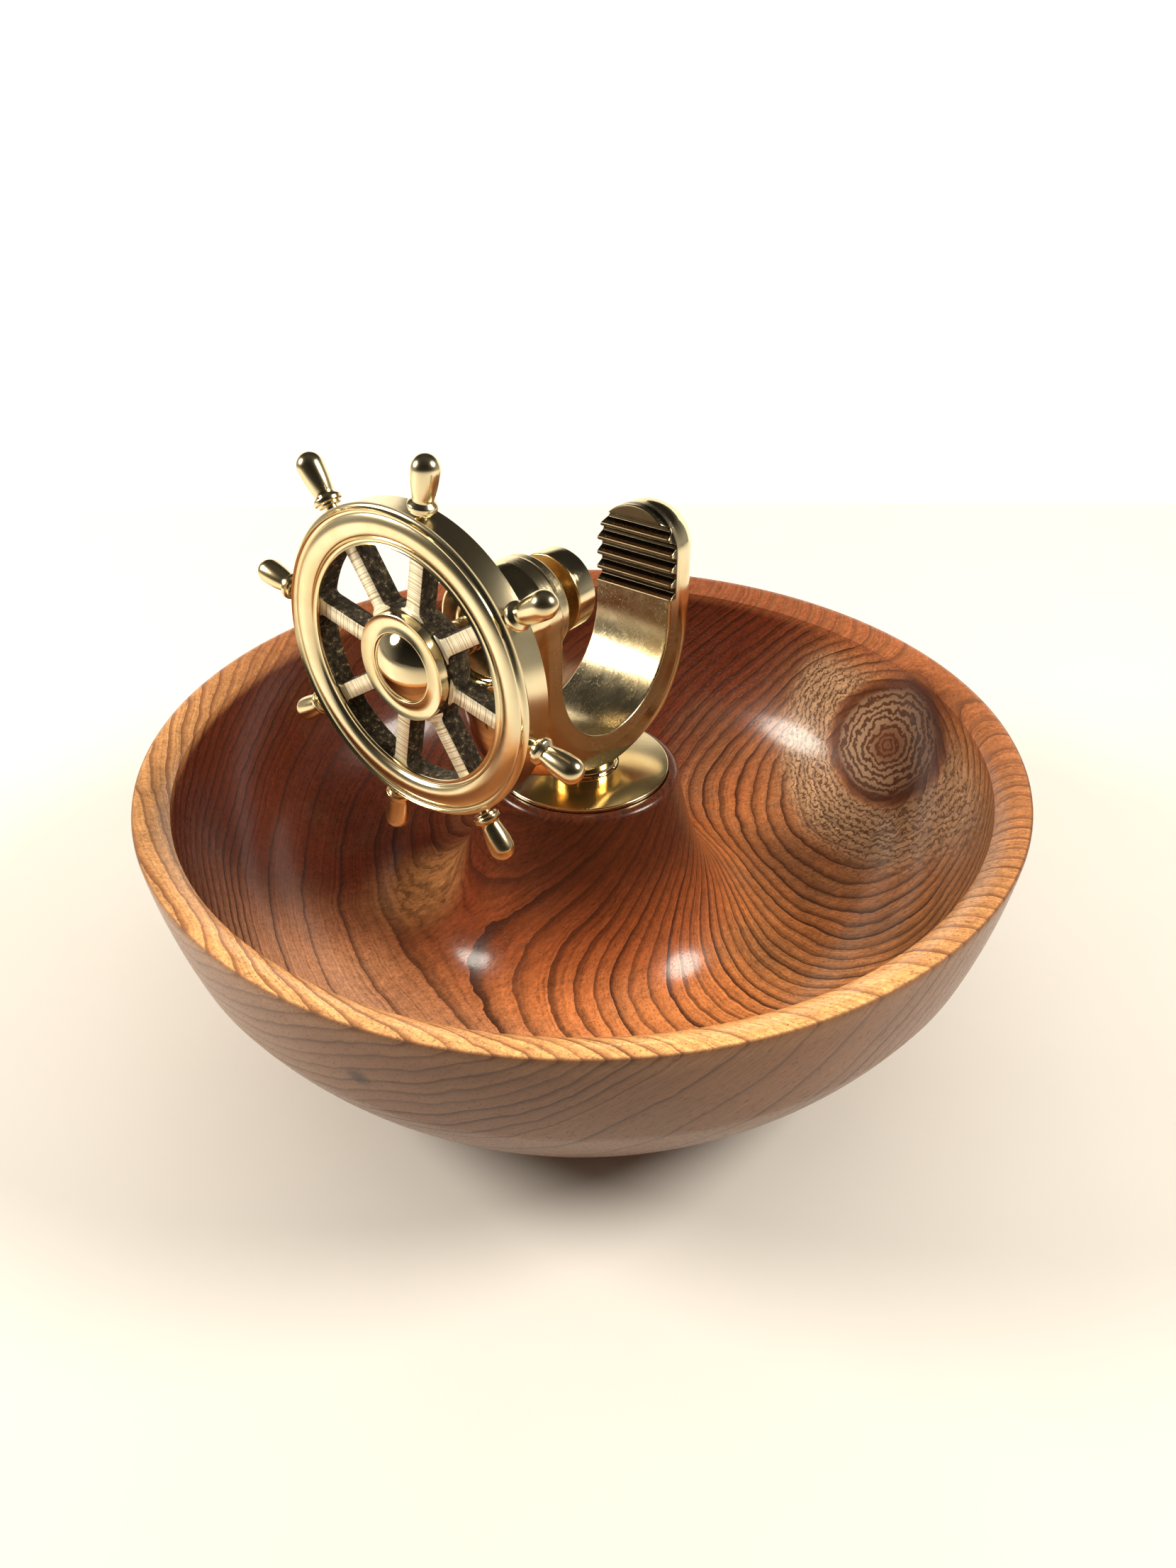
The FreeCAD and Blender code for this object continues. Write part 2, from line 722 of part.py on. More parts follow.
def make_wheel():
    """The ship's wheel: a hub, eight straight spokes and a moulded rim, cast in one."""
    s = sizes
    body = new_body("wheel", z=screw_height, turn=s.wheel_angle)

    # Hub, with the raised ring round the dome at its front
    ring_front = -s.hub_front
    ring_side = ring_front + s.hub_ring_drop
    sketch = new_sketch(body, "hub_outline", "XZ_Plane")
    outline(
        sketch,
        (-s.hub_back, s.hub_bore),
        (-s.hub_back, s.hub_back_radius),
        (-s.wheel_back, s.hub_core_radius),
        (-s.spoke_front, s.hub_core_radius),
        (-s.spoke_front, s.hub_radius),
        (ring_side, s.hub_radius),
        (ring_side, s.dome_radius + s.dome_play, s.hub_ring_curve, "right"),
        (-s.dome_seat, s.dome_radius + s.dome_play),
        (-s.dome_seat, s.hub_bore),
    )
    revolve(body, "hub", sketch, axis="H_Axis")

    # Eight spokes that run from inside the hub to inside the rim
    sketch = new_sketch(body, "spoke_outline", "YZ_Plane", shift=-s.spoke_front)
    half = s.spoke_width / 2
    near = s.hub_core_radius - s.rim_wall_step
    far = rim_wall_inner + s.rim_wall_step
    outline(sketch, (near, -half), (far, -half), (far, half), (near, half))
    spoke = pad(body, "spoke", sketch, s.spoke_front - s.spoke_back)
    polar_copies(body, "spokes", spoke, s.spoke_count)

    # Rim: bead, shallow cove and inner lip on the front, plain drum behind
    front = -s.wheel_front
    bead_top = s.rim_outer_radius + s.rim_bead_proud
    bead_back = front + s.rim_bead_radius
    cove_front = -s.rim_cove_front
    cove_outer = s.rim_outer_radius - s.rim_bead_width
    cove_inner = cove_outer - s.rim_cove_width
    lip_top = cove_inner - s.rim_groove * 2
    lip_inner = lip_top - s.rim_lip_width
    lip_back = cove_front + s.rim_lip_depth
    sketch = new_sketch(body, "rim_outline", "XZ_Plane")
    outline(
        sketch,
        (-s.wheel_back, rim_wall_inner),
        (-s.wheel_back, s.rim_outer_radius - s.rim_bead_proud),
        (-(s.wheel_back + s.rim_bead_proud), s.rim_outer_radius),
        (bead_back + s.rim_bead_proud, s.rim_outer_radius),
        (bead_back, bead_top),
        (front, bead_top - s.rim_bead_radius, s.rim_bead_radius, "right"),
        (cove_front, cove_outer, s.rim_bead_radius, "right"),
        (cove_front, cove_inner, s.rim_cove_curve, "left"),
        (cove_front + s.rim_groove, cove_inner - s.rim_groove),
        (cove_front, lip_top),
        (cove_front, lip_inner, s.rim_lip_curve, "right"),
        (lip_back, lip_inner),
        (lip_back + s.rim_wall_step, rim_wall_inner),
    )
    revolve(body, "rim", sketch, axis="H_Axis")

    # Cast fillets where the spokes meet the hub and the rim
    cast = body.Tip
    shape = cast.Shape
    depth = s.spoke_front.value - s.spoke_back.value
    corners = []
    for number, edge in enumerate(shape.Edges, start=1):
        low, high = edge.Vertexes[0].Point, edge.Vertexes[-1].Point
        along = high - low
        radius = math.hypot(low.y, low.z)
        at_joint = min(abs(radius - s.hub_core_radius.value), abs(radius - rim_wall_inner.value))
        if abs(abs(along.x) - depth) < 0.01 and at_joint < 0.01:
            corners.append(f"Edge{number}")
    fillet = body.newObject("PartDesign::Fillet", "wheel_fillets")
    fillet.Base = (cast, corners)
    fillet.Radius = s.spoke_fillet.value
    fillet.setExpression("Radius", s.spoke_fillet.formula)
    body.Tip = fillet
    doc.recompute()

    # Sockets for the handles, in line with the spokes
    sketch = new_sketch(body, "socket_outline", "XZ_Plane", shift=-bead_top)
    circle(sketch, -s.handle_place, ZERO, s.handle_neck_radius + s.running_play)
    depth = s.rim_bead_proud + s.handle_root + s.end_play
    socket = pocket(body, "socket", sketch, length=depth, reverse=True)
    polar_copies(body, "sockets", socket, s.spoke_count)

    # Tapped hole for the grub screw, behind the spokes
    sketch = new_sketch(body, "grub_hole_outline", "XZ_Plane", shift=s.hub_core_radius)
    circle(sketch, -s.grub_place, ZERO, s.grub_radius + s.running_play)
    pocket(body, "grub_hole", sketch, length=s.hub_core_radius - s.hub_bore / 2)


def make_hub_parts():
    """The polished dome over the spindle's end, and the grub screw behind the spokes."""
    s = sizes
    dome = new_body("dome_nut", z=screw_height)
    sketch = new_sketch(dome, "profile", "XZ_Plane")
    rim = -(s.dome_seat + s.dome_skirt)
    bore = s.hub_bore
    curve = (s.dome_radius * s.dome_radius + s.dome_height * s.dome_height) / (s.dome_height * 2)
    outline(
        sketch,
        (-s.dome_seat, bore),
        (-s.dome_seat, s.dome_radius),
        (rim, s.dome_radius),
        (rim - s.dome_height, ZERO, curve, "right"),
        (-(s.dome_seat + s.dome_bore_depth), ZERO),
        (-(s.dome_seat + s.dome_bore_depth), bore),
    )
    revolve(dome, "turning", sketch, axis="H_Axis")

    grub = new_body("wheel_grub_screw", x=-s.grub_place, z=screw_height, turn=s.wheel_angle)
    inner = s.hub_bore
    outer = s.hub_back_radius
    sketch = new_sketch(grub, "section", "XZ_Plane", shift=inner)
    circle(sketch, ZERO, ZERO, s.grub_radius)
    pad(grub, "rod", sketch, outer - inner)
    sketch = new_sketch(grub, "socket_section", "XZ_Plane", shift=outer)
    circle(sketch, ZERO, ZERO, s.grub_socket_radius)
    pocket(grub, "socket", sketch, length=s.grub_socket_depth)


def make_handles():
    """Eight turned handles: a neck in the rim, a stepped collar and a swelling grip."""
    s = sizes
    neck_low = s.rim_outer_radius - s.handle_root
    step_low = s.rim_outer_radius + s.handle_neck
    collar_low = step_low + s.handle_step
    collar_top = collar_low + s.handle_collar
    waist = collar_top + s.handle_waist_rise
    tip = s.rim_outer_radius + s.handle_reach
    grip = tip - s.handle_grip_radius
    for number in range(int(s.spoke_count.value)):
        step = as_size(number) * 360 / s.spoke_count
        label = f"handle_{number + 1}"
        turn = s.wheel_angle + step - 90
        body = new_body(label, x=-s.handle_place, z=screw_height, turn=turn)
        sketch = new_sketch(body, "profile", "XZ_Plane")
        outline(
            sketch,
            (ZERO, neck_low),
            (s.handle_neck_radius, neck_low),
            (s.handle_neck_radius, step_low),
            (s.handle_step_radius, step_low),
            (s.handle_step_radius, collar_low),
            (s.handle_collar_radius, collar_low),
            (s.handle_collar_radius, collar_top),
            (s.handle_waist_radius, waist),
            (s.handle_grip_radius, grip, s.handle_grip_curve, "right"),
            (ZERO, tip, s.handle_grip_radius, "right"),
        )
        revolve(body, "turning", sketch)


def make_fixings():
    """The stud, washer and nut that hold the frame and plate down from inside the foot."""
    s = sizes
    stud = new_body("base_stud")
    sketch = new_sketch(stud, "section", "XY_Plane", shift=s.stud_bottom)
    circle(sketch, ZERO, ZERO, s.stud_radius)
    pad(stud, "rod", sketch, stud_top - s.stud_bottom)

    washer = new_body("base_washer", z=washer_bottom)
    sketch = new_sketch(washer, "section", "XY_Plane")
    circle(sketch, ZERO, ZERO, s.washer_radius)
    circle(sketch, ZERO, ZERO, stud_hole)
    pad(washer, "ring", sketch, s.washer_thickness)

    nut = new_body("base_nut", z=nut_bottom)
    sketch = new_sketch(nut, "section", "XY_Plane")
    flat = s.nut_width / 2
    corner = s.nut_width / math.sqrt(3)
    outline(
        sketch,
        (corner, ZERO),
        (corner / 2, flat),
        (-corner / 2, flat),
        (-corner, ZERO),
        (-corner / 2, -flat),
        (corner / 2, -flat),
    )
    circle(sketch, ZERO, ZERO, s.stud_radius + s.running_play)
    pad(nut, "hexagon", sketch, s.nut_height)


make_bowl()
make_base_plate()
make_frame()
make_spindle()
make_ram()
make_wheel()
make_hub_parts()
make_handles()
make_fixings()
doc.recompute()

# Nothing is written unless every object is sound
for item in doc.Objects:
    if "Invalid" in item.State or "Error" in item.State:
        raise RuntimeError(f"{item.Label} failed: {item.State}")
os.makedirs("parts", exist_ok=True)
bodies = [item for item in doc.Objects if item.TypeId == "PartDesign::Body"]
for body in bodies:
    shape = body.Shape
    if shape.isNull() or not shape.isValid():
        raise RuntimeError(f"{body.Label} has no valid shape")
for body in bodies:
    box = body.Shape.BoundBox
    print(f"{body.Label:18s} solids {len(body.Shape.Solids)}  volume {body.Shape.Volume:10.1f}"
          f"  x {box.XMin:7.1f} {box.XMax:7.1f}  y {box.YMin:7.1f} {box.YMax:7.1f}"
          f"  z {box.ZMin:7.1f} {box.ZMax:7.1f}")
    body.Shape.exportStep(f"parts/{body.Label}.step")
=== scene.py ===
# %% [markdown]
# # A ship's wheel nutcracker on a turned bowl
# The bowl is one block of wood turned on a lathe, with a pedestal left standing in its middle.
# A brass loop stands on it. A ship's wheel turns a screw, and the screw pushes a ram at the teeth.
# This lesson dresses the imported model: it builds finer meshes in code and gives each one a finish
# made only of shader nodes. Every length is in millimetres until the mesh is made.

# %% Load the frame
import math

import bmesh
import bpy
import numpy as np
from mathutils import Matrix, Vector


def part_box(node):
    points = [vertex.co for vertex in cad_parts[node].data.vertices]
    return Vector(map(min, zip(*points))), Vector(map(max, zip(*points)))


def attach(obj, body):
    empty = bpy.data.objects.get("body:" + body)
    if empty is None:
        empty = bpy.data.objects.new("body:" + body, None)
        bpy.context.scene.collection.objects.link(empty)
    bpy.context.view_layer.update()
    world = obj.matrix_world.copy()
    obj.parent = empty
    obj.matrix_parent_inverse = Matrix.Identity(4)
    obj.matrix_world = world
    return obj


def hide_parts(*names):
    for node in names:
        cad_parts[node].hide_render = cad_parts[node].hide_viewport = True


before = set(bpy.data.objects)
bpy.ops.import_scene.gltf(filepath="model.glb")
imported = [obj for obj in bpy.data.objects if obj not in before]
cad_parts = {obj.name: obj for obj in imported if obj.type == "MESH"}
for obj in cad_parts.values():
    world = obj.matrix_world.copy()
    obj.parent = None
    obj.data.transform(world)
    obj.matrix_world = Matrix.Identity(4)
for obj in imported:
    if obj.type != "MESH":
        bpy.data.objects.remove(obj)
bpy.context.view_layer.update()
MM = 0.001

# %% [markdown]
# ## Sizes from the model
# The fine meshes have to sit where the solids sit, so the main sizes are read from them. The screw
# lies along X at one height, which is the middle of the ram. Smaller sizes are named further down,
# next to the piece that they belong to.

# %% Sizes
X_AXIS, Z_AXIS = 0, 2
RIGHT, UP = Vector((1, 0, 0)), Vector((0, 0, 1))


def span(name, axis):
    """Where a solid begins and ends along an axis, in millimetres."""
    return [round(corner[axis] / MM, 2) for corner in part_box(name)]


BOWL_RADIUS = span("bowl", X_AXIS)[1]
BOWL_TOP = span("bowl", Z_AXIS)[1]
PLATE_RADIUS = span("base_plate", X_AXIS)[1]
PLATE_LOW, PLATE_TOP = span("base_plate", Z_AXIS)
RAM_BACK, RAM_FACE = span("ram_head", X_AXIS)
ram_low, ram_high = span("ram_head", Z_AXIS)
RAM_RADIUS = round((ram_high - ram_low) / 2, 2)
SCREW = round((ram_high + ram_low) / 2, 2)
SCREW_FRONT, SCREW_END = span("spindle", X_AXIS)
DOME_FRONT, DOME_BACK = span("dome_nut", X_AXIS)
DOME_RADIUS = round(span("dome_nut", Z_AXIS)[1] - SCREW, 2)
STUD_HOLE = 4.3
print("bowl", 2 * BOWL_RADIUS, "across, screw", SCREW, "above the floor")

# %% [markdown]
# ## Camera
# The view is from the wheel's side, above the rim and a little to the left of the screw. A wide
# lens held close gives the strong perspective of the near rim. The camera aims at a point on the
# bowl's axis and is turned back by a small roll. Aiming is easier to adjust than three angles.

# %% Camera
camera_data = bpy.data.cameras.new("photo_view")
camera_data.lens = 24.97
camera_data.sensor_width = 36.0
camera_data.clip_start = 0.01
camera = bpy.data.objects.new("photo_view", camera_data)
bpy.context.scene.collection.objects.link(camera)
camera_place = Vector((-240.7, -189.3, 275.5)) * MM
camera_target = Vector((1.06, -1.36, 72.5)) * MM
aim = (camera_target - camera_place).to_track_quat("-Z", "Y").to_matrix().to_4x4()
roll = Matrix.Rotation(math.radians(-0.11), 4, "Z")
camera.matrix_world = Matrix.Translation(camera_place) @ aim @ roll
bpy.context.scene.camera = camera
print("camera is", round((camera_target - camera_place).length, 3), "m from its target")

# %% [markdown]
# ## A small language for shader maths
# Shader nodes are easy to read as a formula and hard to read as a list of links. One class wraps
# an output socket, so that a sum or product of two wires adds a Math node by itself. Any other
# node comes from its method node(), which sets the node up before it fills the sockets.

# %% Shader maths
class Wire:
    """One output socket of a shader tree, with arithmetic."""

    def __init__(self, socket):
        self.socket = socket

    def node(self, kind, settings=(), sockets=(), output=0):
        """Add a node, set it up, fill its sockets with values or wires, and return one output."""
        tree = self.socket.id_data
        made = tree.nodes.new(kind)
        for name, value in dict(settings).items():
            if name == "stops":
                set_stops(made.color_ramp, value)
            else:
                setattr(made, name, value)
        for name, value in dict(sockets).items():
            if isinstance(value, Wire):
                tree.links.new(value.socket, made.inputs[name])
            else:
                made.inputs[name].default_value = value
        return Wire(made.outputs[output])

    def math(self, operation, *others):
        values = dict(enumerate((self,) + others))
        return self.node("ShaderNodeMath", {"operation": operation}, values)

    def __add__(self, other):
        return self.math("ADD", other)

    def __sub__(self, other):
        return self.math("SUBTRACT", other)

    def __rsub__(self, other):
        return (self * -1.0) + other

    def __mul__(self, other):
        return self.math("MULTIPLY", other)

    def __truediv__(self, other):
        return self.math("DIVIDE", other)

    def vector(self, operation, *others, output=0):
        values = dict(enumerate((self,) + others))
        return self.node("ShaderNodeVectorMath", {"operation": operation}, values, output)

    def stretch(self, x, y, z):
        """This vector with each part scaled by its own number."""
        return self.vector("MULTIPLY", (x, y, z))

    def dot(self, direction):
        """The part of a vector along a fixed direction."""
        return self.vector("DOT_PRODUCT", tuple(direction), output="Value")

    def length(self):
        return self.vector("LENGTH", output="Value")

    def from_point(self, point):
        """How far this place is from a fixed point."""
        return self.vector("SUBTRACT", tuple(point)).length()

    def step(self, low, high):
        """A soft step from 0 at low to 1 at high. It also runs downwards."""
        edges = {"Value": self, "From Min": low, "From Max": high}
        if high < low:
            edges = {"Value": self, "From Min": high, "From Max": low, "To Min": 1.0, "To Max": 0.0}
        return self.node("ShaderNodeMapRange", {"interpolation_type": "SMOOTHSTEP"}, edges)

    def noise(self, scale, detail=3.0, rough=0.5):
        """Noise read at this vector, from 0 to 1."""
        values = {"Vector": self, "Scale": scale, "Detail": detail, "Roughness": rough}
        return self.node("ShaderNodeTexNoise", {}, values)

    def line_noise(self, scale, detail=3.0, rough=0.5):
        """Noise along one number, which draws fine lines where the number is a distance."""
        values = {"W": self, "Scale": scale, "Detail": detail, "Roughness": rough}
        return self.node("ShaderNodeTexNoise", {"noise_dimensions": "1D"}, values)

    def ramp(self, stops):
        return self.node("ShaderNodeValToRGB", {"stops": stops}, {0: self})

    def mix(self, low, high):
        """Blend two colours by this wire."""
        return self.node("ShaderNodeMix", {"data_type": "RGBA"}, {0: self, 6: low, 7: high}, output=2)

    def bump(self, depth, strength):
        """Turn a height wire into a normal. The depth is in metres."""
        return self.node("ShaderNodeBump", {}, {"Height": self, "Distance": depth, "Strength": strength})


def set_stops(ramp, stops):
    """Give a colour ramp its stops, as (place, colour) pairs."""
    while len(ramp.elements) < len(stops):
        ramp.elements.new(0.5)
    for element, (place, colour) in zip(ramp.elements, stops):
        element.position = place
        element.color = (*colour, 1.0)


def rgba(red, green, blue):
    return (red, green, blue, 1.0)


def new_finish(name):
    """Start a material. Returns it, its Principled shader and its place wire in millimetres."""
    material = bpy.data.materials.new(name)
    material.use_nodes = True
    shader = material.node_tree.nodes["Principled BSDF"]
    coordinates = material.node_tree.nodes.new("ShaderNodeTexCoord")
    return material, shader, Wire(coordinates.outputs["Object"]).stretch(1 / MM, 1 / MM, 1 / MM)


def feed(shader, **inputs):
    """Fill the Principled shader's sockets, by a link for a wire and directly for a constant."""
    for name, value in inputs.items():
        socket = shader.inputs[name.replace("_", " ")]
        if isinstance(value, Wire):
            shader.id_data.links.new(value.socket, socket)
        else:
            socket.default_value = value


print("shader maths ready")

# %% [markdown]
# ## Floor and backdrop
# The bowl stands on a pale floor that ends at a pale backdrop, with a faint seam. The backdrop is
# a little lit by itself, as a bright sheet of paper behind a small set would be.

# %% Mesh helper
def mesh_object(name, points, faces, angle=32.0):
    """Make an object from points in millimetres. Edges sharper than the angle stay crisp."""
    mesh = bpy.data.meshes.new(name)
    mesh.from_pydata((np.asarray(points, float) * MM).tolist(), [], [list(f) for f in faces])
    mesh.validate()
    mesh.polygons.foreach_set("use_smooth", [True] * len(mesh.polygons))
    mesh.set_sharp_from_angle(angle=math.radians(angle))
    made = bpy.data.objects.new(name, mesh)
    bpy.context.scene.collection.objects.link(made)
    return made


# %% Floor and backdrop
AWAY = Vector((0.788, 0.616, 0.0))
ACROSS = Vector((0.616, -0.788, 0.0))
NEAR = tuple(-AWAY)
BACKDROP = 488.0
SEAM = 5.0


def sheet(name, side, left, right):
    """A sheet that follows a side view of (distance behind the bowl, height) points."""
    points = []
    for forward, height in side:
        for shift in (left, right):
            corner = AWAY * forward + ACROSS * shift
            points.append((corner.x, corner.y, height))
    faces = [(2 * i, 2 * i + 1, 2 * i + 3, 2 * i + 2) for i in range(len(side) - 1)]
    made = mesh_object(name, points, faces)
    return made


def floor_finish(name):
    """Smooth off-white, with a faint sheen that varies."""
    material, shader, place = new_finish(name)
    tone = place.noise(0.02, 4.0, 0.6).mix(rgba(0.76, 0.735, 0.69), rgba(0.80, 0.775, 0.73))
    sheen = place.noise(0.006, 3.0, 0.5) * 0.25 + 0.28
    feed(shader, Base_Color=tone, Roughness=sheen, Specular_IOR_Level=0.35)
    return material


def backdrop_finish(name):
    """Matt off-white that glows a little."""
    material, shader, place = new_finish(name)
    tone = place.noise(0.01, 4.0, 0.6).mix(rgba(0.84, 0.81, 0.74), rgba(0.88, 0.85, 0.79))
    feed(shader, Base_Color=tone, Roughness=0.8, Specular_IOR_Level=0.2,
         Emission_Color=rgba(1.0, 0.96, 0.86), Emission_Strength=0.30)
    return material


floor = sheet("pale_floor", [(-2500.0, 0.0), (BACKDROP, 0.0)], -2500.0, 2500.0)
floor.data.materials.append(floor_finish("white_floor"))
side = [(BACKDROP + SEAM * math.sin(a), SEAM * (1 - math.cos(a))) for a in np.linspace(0, math.pi / 2, 8)]
backdrop = sheet("pale_backdrop", side + [(BACKDROP + SEAM, 345.0)], -520.0, 520.0)
backdrop.data.materials.append(backdrop_finish("white_backdrop"))
print("backdrop stands", BACKDROP, "mm behind the bowl's middle")

# %% [markdown]
# ## Light
# Two soft lamps hang left and right of the object, at the places that the white gleams on the
# pedestal point to. The room itself has three faces, which a Light Path node tells apart. Matt
# wood is lit by soft light from above. Polished brass shows only what it mirrors, so it gets a
# dim room that darkens towards the front. The camera sees a plain pale grey past the backdrop.

# %% Lamps
LAMP_COLOUR = (1.0, 0.93, 0.82)


def soft_lamp(name, azimuth, elevation, power):
    """A round soft lamp one metre from the pedestal, aimed at it."""
    data = bpy.data.lights.new(name, "AREA")
    data.shape = "DISK"
    data.size = 0.36
    data.energy = power
    data.color = LAMP_COLOUR
    lamp = bpy.data.objects.new(name, data)
    bpy.context.scene.collection.objects.link(lamp)
    a, e = math.radians(azimuth), math.radians(elevation)
    ray = Vector((math.cos(e) * math.cos(a), math.cos(e) * math.sin(a), math.sin(e)))
    lamp.location = Vector((0, 0, 0.05)) + ray
    lamp.rotation_euler = ray.to_track_quat("Z", "Y").to_euler()


soft_lamp("left_lamp", 131.0, 32.0, 10.0)
soft_lamp("right_lamp", -62.0, 40.0, 9.5)


# %% World
def room_light(ray):
    """Colour of the room for each ray: what brass mirrors, what lights wood, what is seen."""
    height = ray.dot(UP)
    mirrored = height.ramp([(0.0, (0.36, 0.34, 0.30)), (0.25, (0.17, 0.16, 0.14)),
                            (0.50, (0.020, 0.018, 0.016)), (1.0, (0.035, 0.032, 0.029))])
    front_side = ray.dot(NEAR).step(-0.3, 0.6)
    mirrored = (front_side * 0.93).mix(mirrored, rgba(0.010, 0.009, 0.008))
    overhead = height.step(0.60, 0.95).mix(rgba(0.035, 0.033, 0.029), rgba(0.95, 0.89, 0.79))
    glossy = ray.node("ShaderNodeLightPath", output="Is Glossy Ray")
    seen = ray.node("ShaderNodeLightPath", output="Is Camera Ray")
    return seen.mix(glossy.mix(overhead, mirrored), rgba(0.93, 0.91, 0.86))


world = bpy.data.worlds.new("dim_room")
bpy.context.scene.world = world
world.use_nodes = True
surround = world.node_tree.nodes["Background"]
coordinates = world.node_tree.nodes.new("ShaderNodeTexCoord")
sky = room_light(Wire(coordinates.outputs["Generated"]))
world.node_tree.links.new(sky.socket, surround.inputs["Color"])
surround.inputs["Strength"].default_value = 1.0
bpy.context.scene.view_settings.view_transform = "Standard"
print("lamps and world ready")

# %% [markdown]
# ## How the wood grows
# The figure of a turned bowl comes from one thing only: where its surface cuts the tree's rings.
# So the rings are a field in space, not a picture on the surface. The trunk's middle runs far
# below the floor, off to the right, and the distance from it counts the rings. A branch starts at
# the trunk's middle and pokes through the right wall. Near it the rings climb outward, which gives
# the nested curves under the knot, and inside it the branch has small rings of its own.

# %% Directions of the wood
GRAIN_AZIMUTH, GRAIN_TILT = math.radians(134.6), math.radians(-44.6)
grain = Vector((math.cos(GRAIN_TILT) * math.cos(GRAIN_AZIMUTH),
                math.cos(GRAIN_TILT) * math.sin(GRAIN_AZIMUTH), math.sin(GRAIN_TILT)))
ring_side = grain.cross(UP).normalized()
ring_up = ring_side.cross(grain)
PITH_SIDE, PITH_UP = 59.3, -241.7
KNOT = (109.0, -60.0, 61.0)
branch = Vector((0.813, 0.301, -0.499)).normalized()
oval = (ACROSS - branch * ACROSS.dot(branch)).normalized()
print("branch points to", tuple(round(v, 2) for v in branch))


# %% Rings
def wood_rings(place):
    """Wires for the ring radius, the distance from the branch, and the bent place."""
    wander = place.node("ShaderNodeTexNoise", {}, {"Vector": place, "Scale": 0.011, "Detail": 2.0},
                        output="Color")
    drift = wander.vector("SUBTRACT", (0.5, 0.5, 0.5)).stretch(16.0, 16.0, 16.0)
    bent = place.vector("ADD", drift)
    side = bent.dot(ring_side) - PITH_SIDE
    up = bent.dot(ring_up) - PITH_UP
    trunk = (side * side + up * up).math("SQRT")
    from_knot = bent.vector("SUBTRACT", KNOT)
    along, broad, length = from_knot.dot(branch), from_knot.dot(oval), from_knot.length()
    off_branch = length * length - along * along + broad * broad * 0.35
    off_branch = off_branch.math("MAXIMUM", 0.0).math("SQRT")
    lift = ((off_branch / 30.0).math("POWER", 1.3) * -1.0).math("EXPONENT") * 36.0
    return trunk - lift, off_branch, bent


EARLY, FAT_FROM, FAT_TO, LAST = 292.0, 314.0, 360.0, 2000.0
LEAN_RING, FAT_RING = 4.3, 14.0


def years_between(radius, start, end, ring):
    """Years that the tree took from one radius to another, when each added one ring's width."""
    return (radius - start).math("MAXIMUM", 0.0).math("MINIMUM", end - start) / ring


def years_at(radius):
    """How many years the tree had grown at a radius: lean years, then fat ones, then lean."""
    early = years_between(radius, 0.0, EARLY, LEAN_RING)
    middle = years_between(radius, EARLY, FAT_FROM, 5.5)
    fat = years_between(radius, FAT_FROM, FAT_TO, FAT_RING)
    late = years_between(radius, FAT_TO, LAST, 3.6)
    return early + middle + fat + late + 0.37


# %% [markdown]
# ## Wood finish
# Each ring darkens slowly and then stops at a thin dark line, which open pores make ragged. Between
# the lines, pores lie along the fibres as short dashes. Broad stains of red, orange and grey drift
# through the heartwood. The oil has built up to a gloss, so the roughness is low and the pores
# break the gleams up. The outside is duller, and its darker, greyer colour is painted shade, with a
# painted lighter side towards the left lamp.
# The layers are laid one over the other, as a painter would, and each has its own function. They
# share one set of wires, which is worked out first.

# %% Wood colours
RED_HEART = rgba(0.205, 0.042, 0.016)
DARK_HEART = rgba(0.070, 0.017, 0.008)
ORANGE_WOOD = rgba(0.66, 0.212, 0.060)
PALE_WOOD = rgba(0.80, 0.37, 0.130)
GREY_WOOD = rgba(0.225, 0.118, 0.060)
TAN_WOOD = rgba(0.58, 0.31, 0.165)
LINE_WOOD = rgba(0.034, 0.012, 0.007)
# painted shade: the outer wall's wood colour is a darker grey-brown than the inside
WALL_WOOD_IN_PAINTED_SHADE = rgba(0.155, 0.066, 0.032)
WALL_LINE = rgba(0.050, 0.022, 0.012)
# painted light: the outer wall's colour on the side towards the left lamp
WALL_LIT = rgba(0.42, 0.235, 0.135)
# painted light: the ground of the knot's halo and of its calm zone is lighter than the wood, to make up
# for the shade on the far wall
HALO_WOOD_WITH_PAINTED_LIGHT = rgba(0.40, 0.235, 0.125)
CALM_WOOD_WITH_PAINTED_LIGHT = rgba(0.60, 0.39, 0.225)
RIPPLE_WOOD = rgba(0.095, 0.036, 0.018)
COLLAR_WOOD = rgba(0.085, 0.026, 0.013)
# The rim's red far end and pale near end; the pale near rim is partly painted light
RIM_RED, RIM_PALE = rgba(0.38, 0.115, 0.045), rgba(1.0, 0.52, 0.20)
RIM_SHADE, RIM_LINE = rgba(0.36, 0.135, 0.052), rgba(0.13, 0.043, 0.019)
KNOT_PALE, KNOT_RING = rgba(0.46, 0.285, 0.170), rgba(0.085, 0.030, 0.015)
KNOT_HEART, KNOT_EDGE = rgba(0.20, 0.060, 0.026), rgba(0.11, 0.036, 0.018)
FLARE = (-30.0, 46.0, 27.0)
SCAR = (-132.7, -34.8, 71.1)


